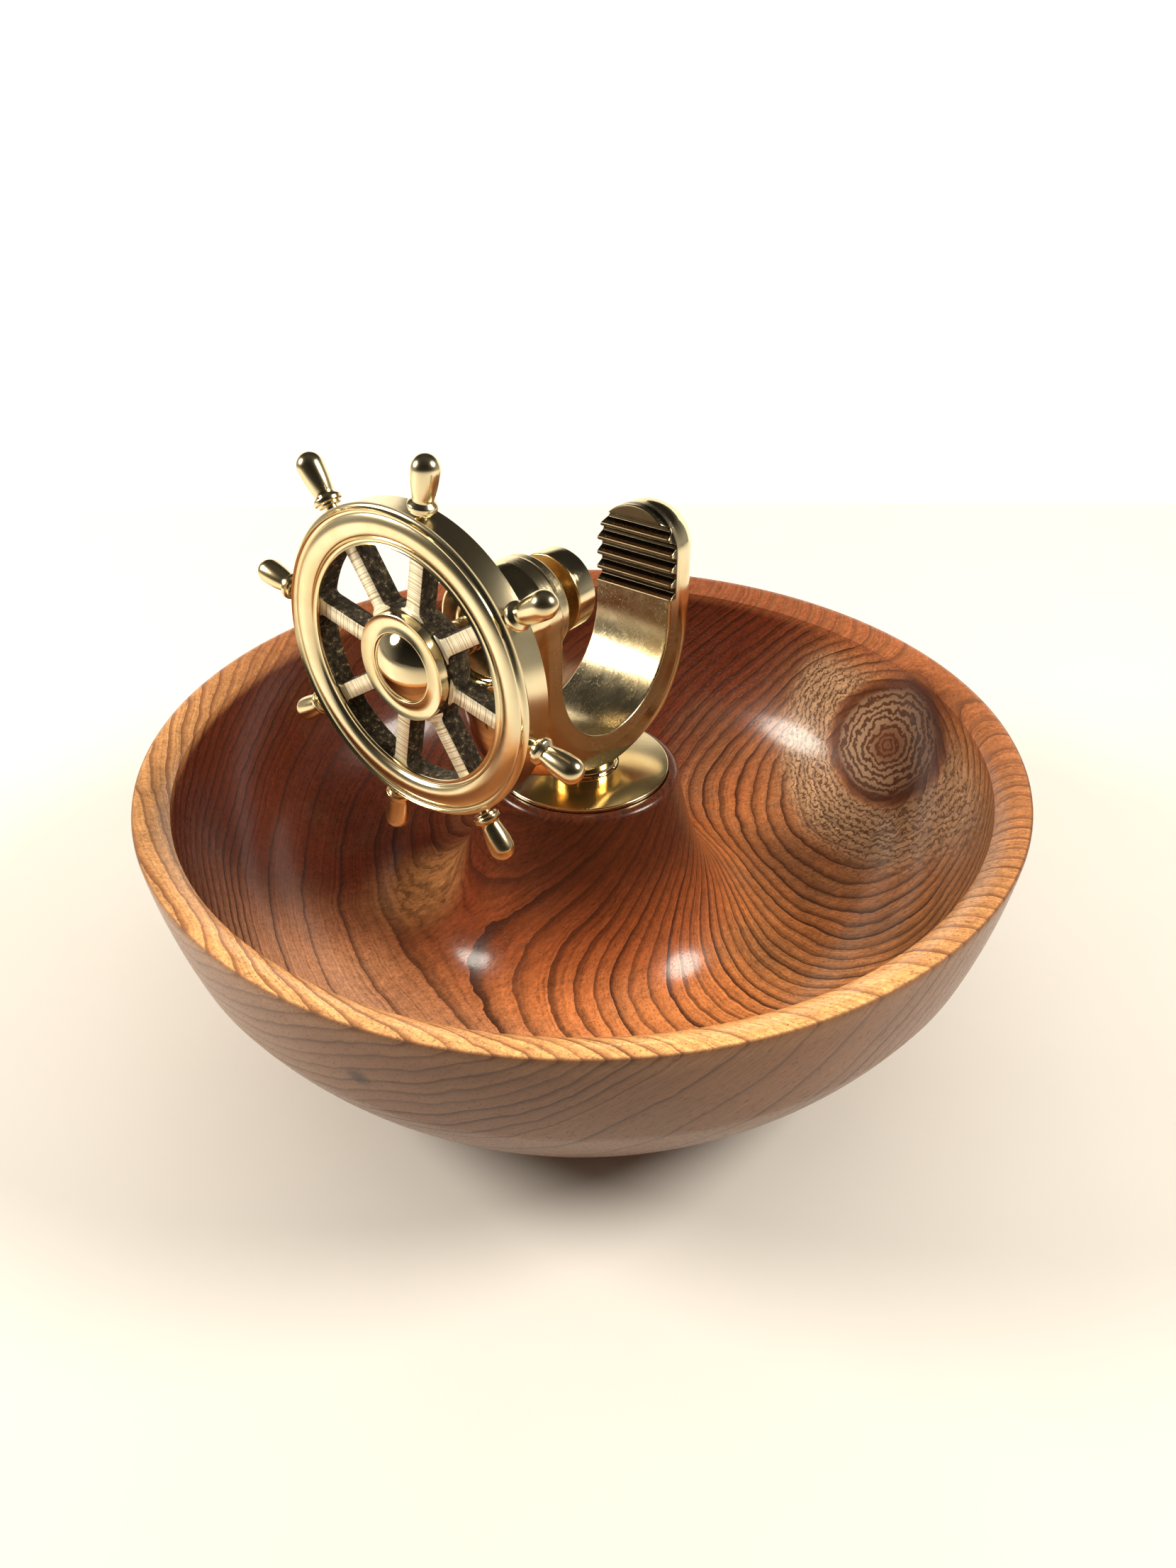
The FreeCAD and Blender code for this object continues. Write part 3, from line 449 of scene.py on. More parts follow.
# %% Shared wires of the wood
class Wood:
    """The wires that the layers of the wood share: places, rings, fibres and zones."""

    def __init__(self, place):
        self.place = place
        self.up = place.dot(UP)
        self.near = place.dot(NEAR)
        self.across = place.dot(ACROSS)
        self.reach = place.stretch(1.0, 1.0, 0.0).length()
        self.radius, self.off_branch, bent = wood_rings(place)
        self.wobble = place.noise(0.10, 3.0, 0.55) * 2.2
        self.axes = bent.dot(ring_side), bent.dot(ring_up), bent.dot(grain)
        self.fibres = self.along_grain(0.10, 0.8, 5.0, 0.65)
        self.pores = self.along_grain(0.22, 2.1, 2.0, 0.5)
        self.dashes = self.pores.step(0.58, 0.68)
        self.below = self.up.step(86.0, 70.0)
        self.halo = self.off_branch.step(80.0, 34.0) * (self.below * 0.6 + 0.4)
        self.calm = self.off_branch.step(23.5, 27.0) * self.off_branch.step(52.0, 40.0) * self.below
        self.flare = place.from_point(FLARE).step(32.0, 8.0)
        self.rim = self.reach.step(126.0, 130.0) * self.up.step(84.0, 88.0)
        self.crooked = place.noise(0.16, 2.0, 0.5) * 6.0 + place.noise(0.55, 2.0, 0.6) * 3.2

    def along_grain(self, squeeze, scale, detail, rough):
        """Noise drawn out along the fibres. A smaller squeeze makes longer streaks."""
        x, y, z = self.axes
        drawn = x.node("ShaderNodeCombineXYZ", {}, {0: x, 1: y, 2: z * squeeze})
        return drawn.noise(scale, detail, rough)


# %% Year lines
def year_marks(wood):
    """The thin line at the end of each year and the slow shade before it, some years stronger."""
    years = years_at(wood.radius + wood.wobble)
    number = years.math("FLOOR")
    chance = number.node("ShaderNodeTexWhiteNoise", {"noise_dimensions": "1D"}, {"W": number})
    strength = chance * 0.5 + 0.5
    fat = wood.radius.step(FAT_FROM - 2.0, FAT_FROM + 4.0) * wood.radius.step(FAT_TO + 4.0, FAT_TO - 4.0)
    gap = (1.0 - years.math("FRACT")) * (fat * (FAT_RING - LEAN_RING) + LEAN_RING)
    ragged = (wood.pores - 0.5) * 1.6
    line = (gap + ragged).step(1.30, 0.10) * strength * (1.0 - fat * 0.2)
    shade = (gap / 3.0).step(1.0, 0.0) * strength * (1.0 - fat * 0.35)
    line = line * (1.0 - wood.calm * 0.75) * (1.0 - wood.flare * 0.8)
    shade = shade * (1.0 - wood.calm * 0.75) * (1.0 - wood.flare * 0.9)
    return line, shade


# %% Broad colours
def broad_colour(wood):
    """From dark red at the back to orange and pale wood towards the near side, with stains and tan parts.
    The lightening towards the near side is partly painted light.
    """
    place = wood.place
    broad = place.noise(0.010, 3.0, 0.55)
    # painted light, in part: the wood turns orange and then paler towards the near side, standing for the
    # light there as well as the wood's own colour
    front = wood.near * 0.0065 + wood.across * 0.0046 + (broad - 0.5) * 1.7
    base = front.step(-0.45, 0.25).mix(RED_HEART, ORANGE_WOOD)
    base = (front.step(0.35, 1.1) * 0.8).mix(base, PALE_WOOD)
    stain = place.noise(0.021, 3.0, 0.6).step(0.50, 0.68)
    base = (stain * 0.45).mix(base, GREY_WOOD)
    left = place.dot((-0.75, -0.10, -0.65)).step(8.0, 62.0) * wood.reach.step(50.0, 75.0)
    base = (left * 0.80).mix(base, TAN_WOOD)
    pedestal = wood.reach.step(62.0, 44.0)
    climb = wood.up.step(28.0, 66.0)
    base = (pedestal * 0.65).mix(base, RED_HEART)
    base = (pedestal * climb * 0.92).mix(base, DARK_HEART)
    back_wall = place.dot((0.40, 0.92, 0.0)).step(30.0, 95.0)
    base = (back_wall * 0.62).mix(base, DARK_HEART)
    base = (wood.flare * 0.70).mix(base, PALE_WOOD)
    # painted light, in part: the grey-beige figure round the knot is lightened to make up for the shade
    # there
    base = (wood.halo * 0.45).mix(base, HALO_WOOD_WITH_PAINTED_LIGHT)
    base = (wood.calm * 0.75).mix(base, CALM_WOOD_WITH_PAINTED_LIGHT)
    # painted light, in part: the rim runs from dark red at the far side to pale orange at the near side
    rim_tone_and_painted_light = (wood.near - wood.across * 0.55).step(-70.0, 110.0)
    return (wood.rim * 0.65).mix(base, rim_tone_and_painted_light.mix(RIM_RED, RIM_PALE))


# %% Fine grain
def grained(wood, base):
    """Darken and lighten the broad colours by four sizes of fibre."""
    streaks = wood.along_grain(0.07, 0.30, 4.0, 0.6)
    sand = wood.along_grain(0.35, 1.5, 2.0, 0.7)
    hairlines = (wood.radius + wood.wobble).line_noise(1.1, 3.0, 0.65)
    tone = wood.fibres * 1.1 + streaks * 0.8 + sand * 1.0 + hairlines * 1.1 - 1.0
    grey = tone.node("ShaderNodeCombineColor", {}, {0: tone, 1: tone, 2: tone})
    return tone.node("ShaderNodeMix", {"data_type": "RGBA", "blend_type": "MULTIPLY"},
                     {0: 1.0, 6: base, 7: grey}, output=2)


def lined(wood, base, line, shade):
    """Lay the years, the pores and the ripples round the knot over the grain."""
    base = (shade * 0.72).mix(base, wood.rim.mix(DARK_HEART, RIM_SHADE))
    base = (wood.dashes * 0.50).mix(base, DARK_HEART)
    ripple = ((wood.off_branch + wood.crooked * 1.1) * 2.7).math("SINE") + (wood.pores - 0.5) * 4.0
    ripple = ripple.step(0.1, 0.8) * (wood.halo * 0.30 + wood.calm * 0.55)
    waves = wood.radius * 1.7 + wood.place.noise(0.11, 3.0, 0.6) * 16.0
    feather = waves.math("SINE").step(0.0, 0.9) * wood.flare
    base = (ripple + feather * 0.5).mix(base, RIPPLE_WOOD)
    return (line * (0.86 - wood.rim * 0.18)).mix(base, wood.rim.mix(LINE_WOOD, RIM_LINE))


# %% Knot
def knotted(wood, base):
    """A dark collar, and inside it the branch's own small crooked rings."""
    edge = wood.off_branch + wood.place.noise(0.12, 2.0) * 2.5
    collar = edge.step(19.5, 21.5) * edge.step(27.0, 23.5)
    base = (collar * (wood.fibres * 0.9 + 0.35)).mix(base, COLLAR_WOOD)
    small = ((wood.off_branch + wood.crooked) * 2.25).math("SINE") + (wood.pores - 0.5) * 2.2
    knot = (small.step(-0.25, 0.35) * 0.88).mix(KNOT_PALE, KNOT_RING)
    knot = (wood.off_branch.step(11.0, 3.0) * 0.65).mix(knot, KNOT_HEART)
    knot = (wood.off_branch.step(14.0, 22.0) * 0.55).mix(knot, KNOT_EDGE)
    return edge.step(22.5, 20.5).mix(base, knot)


# %% Outer wall
def outer_zone(wood):
    """1 on the outer wall, where the surface faces away from the bowl's axis."""
    facing = wood.place.node("ShaderNodeNewGeometry", output="Normal")
    flat_place = wood.place.stretch(1.0, 1.0, 0.0).vector("NORMALIZE")
    outward = facing.vector("DOT_PRODUCT", flat_place, output="Value")
    return outward.step(0.05, 0.35) * wood.reach.step(85.0, 95.0)


def outer_wall_in_painted_shade(wood, base, line, outside):
    """The outer wall is darker and greyer as painted shade, with the same lines drawn faintly and a
    lighter painted side, and has one dark scar.
    """
    faint = (line * 0.55 + wood.fibres * 0.5 - 0.20).mix(WALL_WOOD_IN_PAINTED_SHADE, WALL_LINE)
    # painted light: the outer wall is made lighter on the side that faces the left lamp
    lit = (wood.across * -1.0).step(20.0, 130.0)
    faint = (lit * 0.45).mix(faint, WALL_LIT)
    base = (outside * 0.85).mix(base, faint)
    scar = (wood.place.from_point(SCAR) + wood.pores * 5.0).step(7.5, 3.0)
    return (scar * 0.8).mix(base, LINE_WOOD)


# %% Wood material
def wood_finish(name):
    material, shader, place = new_finish(name)
    wood = Wood(place)
    line, shade = year_marks(wood)
    outside = outer_zone(wood)
    base = grained(wood, broad_colour(wood))
    base = knotted(wood, lined(wood, base, line, shade))
    rough = wood.dashes * 0.20 + wood.fibres * 0.14 + line * 0.12 + outside * 0.06 + 0.16
    height = wood.fibres * 0.35 - wood.dashes * 0.8 - line * 0.4
    feed(shader, Base_Color=outer_wall_in_painted_shade(wood, base, line, outside), Roughness=rough,
         Normal=height.bump(0.00007, 0.6), Coat_Weight=outside * -0.30 + 0.45,
         Specular_IOR_Level=0.2, Coat_IOR=1.38, Coat_Roughness=0.15)
    return material


oiled_wood = wood_finish("oiled_wood")
print("wood finish has", len(oiled_wood.node_tree.nodes), "nodes")

# %% [markdown]
# ## Turning on a lathe
# Bowl, plate, rim, hub, handles and ram are all lathe work, so one helper turns a side view round
# an axis. The side view is a list of corners. Each corner can be rounded, and a run between two
# corners can bow in or out, which is how a turner sees a shape too.

# %% Side views
def bow(start, end, rise, steps=24):
    """Points of an arc between two points, which rises to the left of the way it goes."""
    start, end = np.array(start, float), np.array(end, float)
    chord = end - start
    length = np.hypot(*chord)
    left = np.array((-chord[1], chord[0])) / length
    radius = (length * length / 4 + rise * rise) / (2 * abs(rise))
    middle = (start + end) / 2 + left * (rise - math.copysign(radius, rise))
    half = math.asin(min(1.0, length / 2 / radius))
    turns = np.linspace(-half, half, steps + 1)
    unit = chord / length
    peak = left * math.copysign(radius, rise)
    return [tuple(middle + peak * math.cos(t) + unit * radius * math.sin(t)) for t in turns]


def bows(start, *runs):
    """Arcs joined end to end. Each run is (end, rise, steps)."""
    points = [start]
    for end, rise, steps in runs:
        points += bow(start, end, rise, steps)[1:]
        start = end
    return points


def soften(corners, steps=5):
    """Round the corners that carry a radius, given as (a, b, radius)."""
    result = []
    for number, corner in enumerate(corners):
        here = np.array(corner[:2], float)
        radius = corner[2] if len(corner) > 2 else 0.0
        if radius == 0.0 or number in (0, len(corners) - 1):
            result.append(tuple(here))
            continue
        before = np.array(corners[number - 1][:2], float) - here
        after = np.array(corners[number + 1][:2], float) - here
        cut_in = here + before / np.linalg.norm(before) * radius
        cut_out = here + after / np.linalg.norm(after) * radius
        for t in np.linspace(0, 1, steps + 1):
            result.append(tuple((1 - t) ** 2 * cut_in + 2 * t * (1 - t) * here + t * t * cut_out))
    return result


# %% Lathe
def clean(made):
    """Weld doubled points and turn all the faces outward."""
    work = bmesh.new()
    work.from_mesh(made.data)
    bmesh.ops.remove_doubles(work, verts=work.verts, dist=1e-7)
    bmesh.ops.dissolve_degenerate(work, edges=work.edges, dist=1e-8)
    bmesh.ops.recalc_face_normals(work, faces=work.faces)
    work.to_mesh(made.data)
    work.free()


def turn(name, outline, axis="Z", segments=192, angle=32.0):
    """Turn a closed outline of (radius, height) points round an axis through the screw or bowl."""
    points, faces = [], []
    count = len(outline)
    for step in range(segments):
        a = 2 * math.pi * step / segments
        for radius, height in outline:
            u, v = radius * math.cos(a), radius * math.sin(a)
            points.append((u, v, height) if axis == "Z" else (height, u, v + SCREW))
    centred = [radius < 1e-6 for radius, height in outline]
    for step in range(segments):
        here, after = step * count, (step + 1) % segments * count
        for i in range(count):
            j = (i + 1) % count
            quad = [here + i, after + i, after + j, here + j]
            if centred[i] and centred[j]:
                continue
            if centred[i]:
                quad.remove(after + i)
            elif centred[j]:
                quad.remove(here + j)
            faces.append(quad)
    made = mesh_object(name, points, faces, angle=angle)
    clean(made)
    return made


def dress(made, material, body, slot, *nodes):
    """Give a piece its finish and its body, and hide the CAD nodes that it stands for. The slot is not
    used.
    """
    made.data.materials.clear()
    made.data.materials.append(material)
    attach(made, body)
    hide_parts(*nodes)
    print(made.name, len(made.data.vertices), "points")


# %% [markdown]
# ## The bowl
# The rim rolls in from a crisp outer edge, the wall swells, the trough is round at the bottom, and
# the pedestal rises out of it in a long hollow curve. The outline goes round the whole section, so
# that the foot and the hole for the stud are there as well.

# %% Bowl
def bowl_outline():
    """The section from the stud's hole under the foot, up the outside, and down the inside."""
    recess, recess_top, foot_rise = 15.0, 16.0, 2.0
    ring_in, ring_out = 50.6, 61.6
    belly, shoulder, rim_edge = (119.3, 32.0), (133.9, 57.0), (BOWL_RADIUS, BOWL_TOP - 0.8)
    rim_top, rim_in = (BOWL_RADIUS - 0.7, BOWL_TOP), (129.7, 88.4)
    wall_foot, trough, waist = (118.6, 47.0), (73.6, 22.0), (42.9, 42.0)
    neck, seat = (32.2, 78.0), PLATE_RADIUS + 0.4
    lip = PLATE_TOP - 1.4
    under = [(STUD_HOLE, recess_top), (recess, recess_top), (recess, foot_rise),
             (ring_in - 0.6, foot_rise), (ring_in, 0.0), (ring_out, 0.0), (ring_out + 0.4, 0.4)]
    outside = bows((63.3, 4.0), (belly, -7.24, 40), (shoulder, -0.875, 16), (rim_edge, -0.758, 20))
    rim = [(BOWL_RADIUS - 0.2, BOWL_TOP - 0.2)] + bows(rim_top, (rim_in, -0.90, 16))
    inside = bows(rim_in, (wall_foot, 2.93, 40), (trough, 6.62, 40), (waist, 5.27, 40),
                  (neck, 1.16, 30), ((seat + 0.9, lip), -0.70, 8))[1:]
    socket = [(seat, lip), (seat, PLATE_LOW), (STUD_HOLE, PLATE_LOW)]
    return under + outside + rim + inside + socket


bowl = turn("turned_bowl", bowl_outline(), segments=320, angle=40.0)
dress(bowl, oiled_wood, "base", "turned_wood", "bowl")

# %% [markdown]
# ## Brass finishes
# The brass is one metal in four states. Lathe work and the loop are polished to a mirror, with
# hairline scratches and a little tarnish. The sides of the spokes are rough as cast, dark in the
# pits. The loop's inside was rubbed with coarse paper, so it shows streaks. The thread is raw from
# the tool. Polish is a low roughness; the life in it comes from small waves and specks.

# %% Brass colours
BRASS_PALE = rgba(0.83, 0.72, 0.47)
BRASS_DEEP = rgba(0.72, 0.57, 0.31)
PATINA = rgba(0.060, 0.036, 0.016)
PIT_DARK, PIT_BROWN = rgba(0.010, 0.007, 0.004), rgba(0.085, 0.060, 0.032)
CAST_RUBBED = rgba(0.80, 0.64, 0.36)
# Thread colours: the dark root is painted shade, the bright crest a painted highlight
ROOT_BRONZE_PAINTED_SHADE, CREST_GOLD_PAINTED_HIGHLIGHT = rgba(0.24, 0.145, 0.05), rgba(0.84, 0.64, 0.33)


def from_screw_line(place):
    """Distance from the screw's axis."""
    return place.vector("SUBTRACT", (0.0, 0.0, SCREW)).stretch(0.0, 1.0, 1.0).length()


# %% Polished brass
def polished_brass(name, tarnish=0.25, roughness=0.05, turned=None):
    """Mirror brass. Turned pieces pass their axis, and get rings of fine tool lines."""
    material, shader, place = new_finish(name)
    cloud = place.noise(0.06, 4.0, 0.6)
    specks = place.noise(1.6, 3.0, 0.6).step(0.66, 0.74) * cloud.step(0.45, 0.7)
    hairs = place.stretch(0.6, 3.0, 9.0).noise(1.4, 2.0, 0.7)
    colour = cloud.step(0.3, 0.75).mix(BRASS_PALE, BRASS_DEEP)
    colour = (specks * tarnish).mix(colour, PATINA)
    rough = cloud * 0.05 + hairs * 0.05 + specks * 0.25 + roughness
    height = hairs * 0.10 + cloud * 2.0
    if turned == "X":
        rings = (from_screw_line(place) * 6.0 + place.dot(RIGHT) * 4.0).line_noise(1.0)
    elif turned == "Z":
        rings = (place.stretch(1.0, 1.0, 0.0).length() * 6.0 + place.dot(UP) * 4.0).line_noise(1.0)
    if turned is not None:
        rough = rough + rings * 0.06
        height = height + rings * 0.25
    feed(shader, Base_Color=colour, Roughness=rough, Normal=height.bump(0.00003, 0.5), Metallic=1.0)
    return material


turned_brass_x = polished_brass("turned_brass_x", roughness=0.12, turned="X")
turned_brass_z = polished_brass("turned_brass_z", roughness=0.09, turned="Z")
print("polished brass ready")


# %% Cast and threaded brass
def cast_skin(place):
    """Dark pitted skin with rubbed high spots: its colour, its height and the rubbed places."""
    lumps = place.noise(0.7, 5.0, 0.75)
    height = lumps + place.noise(4.0, 3.0, 0.8) * 0.6
    rubbed = height.step(0.88, 1.05)
    colour = lumps.step(0.35, 0.65).mix(PIT_DARK, PIT_BROWN)
    return rubbed.mix(colour, CAST_RUBBED), height, rubbed


def cast_brass(name):
    """Brass as it left the mould."""
    material, shader, place = new_finish(name)
    colour, height, rubbed = cast_skin(place)
    feed(shader, Base_Color=colour, Roughness=0.58 - rubbed * 0.30, Metallic=rubbed * 0.3 + 0.7,
         Normal=height.bump(0.0005, 0.9))
    return material


def threaded_brass(name):
    """Brass straight from the die: golden, satin in the roots and bright on the crests. The darker roots
    are painted shade and the bright crests a painted highlight.
    """
    material, shader, place = new_finish(name)
    crest = from_screw_line(place).step(4.4, 4.95)
    dirt = place.noise(0.8, 4.0, 0.7)
    # painted shade and painted highlight: the thread is darker in its roots and brighter on its crests
    colour = (crest * 0.7 + dirt * 0.3).mix(ROOT_BRONZE_PAINTED_SHADE, CREST_GOLD_PAINTED_HIGHLIGHT)
    drawn = place.stretch(9.0, 1.0, 1.0).noise(1.2, 3.0, 0.6)
    feed(shader, Base_Color=colour, Roughness=0.34 - crest * 0.16 + drawn * 0.12,
         Normal=drawn.bump(0.00008, 0.6), Metallic=1.0)
    return material


rough_brass = cast_brass("cast_brass")
thread_brass = threaded_brass("thread_brass")
print("cast and threaded brass ready")

# %% [markdown]
# ## Plate
# A disc of brass let into the top of the pedestal. Only its bevel and its thin shadow gap show
# that it is a separate piece, so both are modelled.

# %% Plate
outline = soften([(STUD_HOLE, PLATE_LOW), (PLATE_RADIUS, PLATE_LOW), (PLATE_RADIUS, PLATE_TOP, 0.45),
                  (STUD_HOLE, PLATE_TOP)])
plate = turn("brass_plate", outline, segments=192)
dress(plate, turned_brass_z, "base", "polished_brass", "base_plate")

# %% [markdown]
# ## The loop, as a field of distances
# The loop is a cast and hand polished lump: a half round bar bent into a U, a barrel, a blunt
# anvil and a turned neck, all flowing into each other with soft edges. Cutting primitives leaves
# knife edges that no polisher leaves. So each form is written as a distance, the forms are joined
# with soft minimums and maximums, and a mesh is drawn where the distance is zero. The normals come
# from the same field, which is what makes the mirror finish smooth.

# %% Distances
BAR_RADIUS, BEND, BEND_HEIGHT = 14.6, 33.0, 123.3
HOLE_RADIUS, HOLE_SHIFT, HOLE_HEIGHT = 26.8, 0.5, 126.9
BARREL_MIDDLE, BARREL_HALF, BORE = -34.5, 10.8, 5.25
TOOTH_ROOT, TOOTH_PITCH, LAST_TOOTH, TOOTH_HALF = 26.3, 4.9, 4, 2.0
FLANK_RUN, FLANK_RISE = 1.5, 2.9
NECK_RADIUS, NECK_FILLET = 12.1, 1.6


def soft_min(a, b, width):
    blend = np.maximum(width - np.abs(a - b), 0.0) / width
    return np.minimum(a, b) - blend * blend * width / 4


def soft_max(a, b, width):
    return -soft_min(-a, -b, width)


def bent_bar(x, y, z):
    """The half round bar bent to a U, with its hole."""
    over = np.hypot(y, np.maximum(z - SCREW, 0.0))
    out = np.where(z < BEND_HEIGHT, np.hypot(x, z - BEND_HEIGHT), np.abs(x))
    bar = np.where(out > BEND, np.hypot(out - BEND, over), over) - BAR_RADIUS
    shifted = x + HOLE_SHIFT
    hole = np.where(z < HOLE_HEIGHT, np.hypot(shifted, z - HOLE_HEIGHT), np.abs(shifted)) - HOLE_RADIUS
    return soft_max(bar, -hole, 0.7)


def barrel_on(loop, x, reach):
    """Face the bar's end flat, add the barrel and bore it for the screw."""
    faced = BARREL_MIDDLE - BARREL_HALF
    loop = soft_max(loop, -np.maximum(reach - 16.0, x - faced), 0.5)
    barrel = soft_max(reach - BAR_RADIUS, np.abs(x - BARREL_MIDDLE) - BARREL_HALF, 1.0)
    loop = soft_min(loop, barrel, 0.7)
    return soft_max(loop, -np.maximum(reach - BORE, x + 20.0), 0.3)


def teeth_on(loop, x, z):
    """Cut the anvil's grooves. Only the nearest groove matters at each point."""
    first = SCREW - 11.15
    nearest = first + TOOTH_PITCH * np.clip(np.round((z - first) / TOOTH_PITCH), 0, LAST_TOOTH)
    depth = (x - TOOTH_ROOT) * FLANK_RUN - FLANK_RISE * (TOOTH_HALF - np.abs(z - nearest))
    flank = depth / math.hypot(FLANK_RUN, FLANK_RISE)
    groove = np.maximum(np.maximum(flank, x - TOOTH_ROOT - FLANK_RISE), 20.0 - x)
    return soft_max(loop, -groove, 0.25)


def neck_on(loop, x, y, z):
    """Turn the underside to a cone and add the filleted neck that stands on the plate."""
    radius = np.hypot(x, y)
    above = (88.0 + np.maximum(radius - 13.0, 0.0) * 9.0 / 21.0 - z) * 0.92
    loop = soft_max(loop, above, 0.5)
    low = np.clip(NECK_FILLET - (z - PLATE_TOP), 0.0, NECK_FILLET)
    neck = np.maximum(radius - NECK_RADIUS + np.sqrt(NECK_FILLET ** 2 - low ** 2), z - 90.0)
    return np.maximum(soft_min(loop, neck, 0.4), PLATE_TOP - z)


def loop_distance(x, y, z):
    """How far a point is from the loop's surface, in millimetres. Inside is negative."""
    reach = np.hypot(y, z - SCREW)
    return neck_on(teeth_on(barrel_on(bent_bar(x, y, z), x, reach), x, z), x, y, z)


# %% Drawing a mesh where the distance is zero
def field_slope(distance, points, reach=0.02):
    """The direction in which the distance grows, at each point."""
    slope = np.empty_like(points)
    for axis in range(3):
        step = np.zeros(3)
        step[axis] = reach
        ahead, behind = points + step, points - step
        slope[:, axis] = distance(*ahead.T) - distance(*behind.T)
    return slope / (2 * reach)


def field_quads(inside, number):
    """One quad round each grid edge whose ends lie on different sides of the surface."""
    faces = []
    for axis in range(3):
        first = np.take(inside, range(inside.shape[axis] - 1), axis)
        second = np.take(inside, range(1, inside.shape[axis]), axis)
        edges = np.argwhere(first != second)
        entering = second[tuple(edges.T)]
        a, b = [other for other in range(3) if other != axis]
        quad = []
        for da, db in ((-1, -1), (0, -1), (0, 0), (-1, 0)):
            cell = edges.copy()
            cell[:, a] += da
            cell[:, b] += db
            quad.append(number[tuple(cell.T)])
        quad = np.stack(quad, 1)
        flip = entering if axis != 1 else ~entering
        quad[flip] = quad[flip][:, ::-1]
        faces.append(quad)
    return np.vstack(faces)


def field_mesh(name, distance, low, high, step):
    """One point in each grid cell that the surface crosses, pulled onto the surface."""
    axes = [np.arange(a, b + step, step) for a, b in zip(low, high)]
    inside = distance(*np.meshgrid(*axes, indexing="ij")) < 0
    corners = sum(inside[i:inside.shape[0] - 1 + i, j:inside.shape[1] - 1 + j,
                         k:inside.shape[2] - 1 + k].astype(np.int8)
                  for i in (0, 1) for j in (0, 1) for k in (0, 1))
    crossed = (corners > 0) & (corners < 8)
    number = np.full(crossed.shape, -1)
    number[crossed] = np.arange(crossed.sum())
    points = np.array(low) + (np.argwhere(crossed) + 0.5) * step
    for _ in range(6):
        slope = field_slope(distance, points)
        size = np.maximum((slope ** 2).sum(1), 0.25)
        points -= np.clip((distance(*points.T) / size)[:, None] * slope, -step, step)
    made = mesh_object(name, points, field_quads(inside, number).tolist(), angle=180.0)
    normals = field_slope(distance, points)
    normals /= np.linalg.norm(normals, axis=1)[:, None]
    made.data.normals_split_custom_set_from_vertices(normals.tolist())
    return made


grid = 0.4
loop = field_mesh("brass_loop", loop_distance, (-48.0, -15.4, 81.0), (48.6, 15.4, 162.6), grid)
print("loop", len(loop.data.polygons), "faces")


# %% Loop finish
def hole_distance(place):
    """Distance from the wall of the loop's hole, as a wire."""
    side = place.dot(RIGHT) + HOLE_SHIFT
    fall = (place.dot(UP) - HOLE_HEIGHT).math("MINIMUM", 0.0)
    return (side * side + fall * fall).math("SQRT") - HOLE_RADIUS


def loop_finish(name):
    """Mirror brass outside, rubbed streaks inside the loop, and blackened teeth."""
    material, shader, place = new_finish(name)
    x, z = place.dot(RIGHT), place.dot(UP)
    cloud = place.noise(0.05, 4.0, 0.6)
    specks = place.noise(1.7, 4.0, 0.7).step(0.60, 0.66) * place.noise(0.10, 2.0).step(0.46, 0.60)
    hole = hole_distance(place)
    inner = hole.step(0.5, 0.25)
    band = hole.step(5.5, 4.8) * hole.step(0.6, 1.0)
    slant = place.stretch(0.35, 2.4, 0.9).noise(1.1, 4.0, 0.7)
    hairs = place.stretch(5.0, 0.8, 5.0).noise(1.4, 2.0, 0.7)
    lines = hole.line_noise(4.0, 2.0)
    rubbed = place.noise(0.14, 4.0, 0.65).step(0.40, 0.62)
    teeth = inner * z.step(132.8, 134.2) * x.step(24.0, 25.0)
    grooves = x.step(26.7, 28.2) * z.step(132.8, 134.0) * x.step(30.2, 29.4)
    colour = cloud.step(0.3, 0.75).mix(BRASS_PALE, BRASS_DEEP)
    colour = (specks * (inner * 0.85 + 0.12)).mix(colour, PATINA)
    colour = (inner * slant * rubbed * 0.55).mix(colour, rgba(0.30, 0.20, 0.09))
    colour = (teeth * 0.92).mix(colour, rgba(0.085, 0.056, 0.028))
    colour = (grooves * 0.92).mix(colour, rgba(0.020, 0.013, 0.008))
    rough = inner * (slant * 0.22 + rubbed * 0.08) + band * lines * 0.22 + hairs * 0.05 + specks * 0.2
    rough = rough + cloud * 0.04 + teeth * 0.12 + 0.04
    height = inner * slant * 1.2 + band * lines * 0.7 + hairs * 0.12 + cloud * 2.4 - specks * inner
    feed(shader, Base_Color=colour, Roughness=rough, Normal=height.bump(0.00004, 0.6), Metallic=1.0)
    return material


dress(loop, loop_finish("loop_brass"), "base", "cast_brass", "frame")

# %% [markdown]
# ## The wheel
# The wheel was cast in one and then turned on its front: bead, shallow cove and lip on the rim,
# and a raised ring on the hub. The spokes are flat bars. Their fronts were milled across, and
# their sides are as cast. Turned parts come from the lathe helper. The spokes are plates whose
# plan view flares where they run into the hub and the rim, as a casting must.

# %% Rim and hub
RIM_INNER, RIM_BACK, RIM_FRONT = 33.5, -66.2, -74.5
AXLE = 3.95
SPOKES = 8
FIRST_SPOKE = math.radians(12.7)


def wheel_piece(name, outline, material, segments, angle):
    """Turn a part of the wheel round the screw and dress it."""
    made = turn(name, outline, axis="X", segments=segments, angle=angle)
    dress(made, material, "wheel_screw", "cast_brass", "wheel")


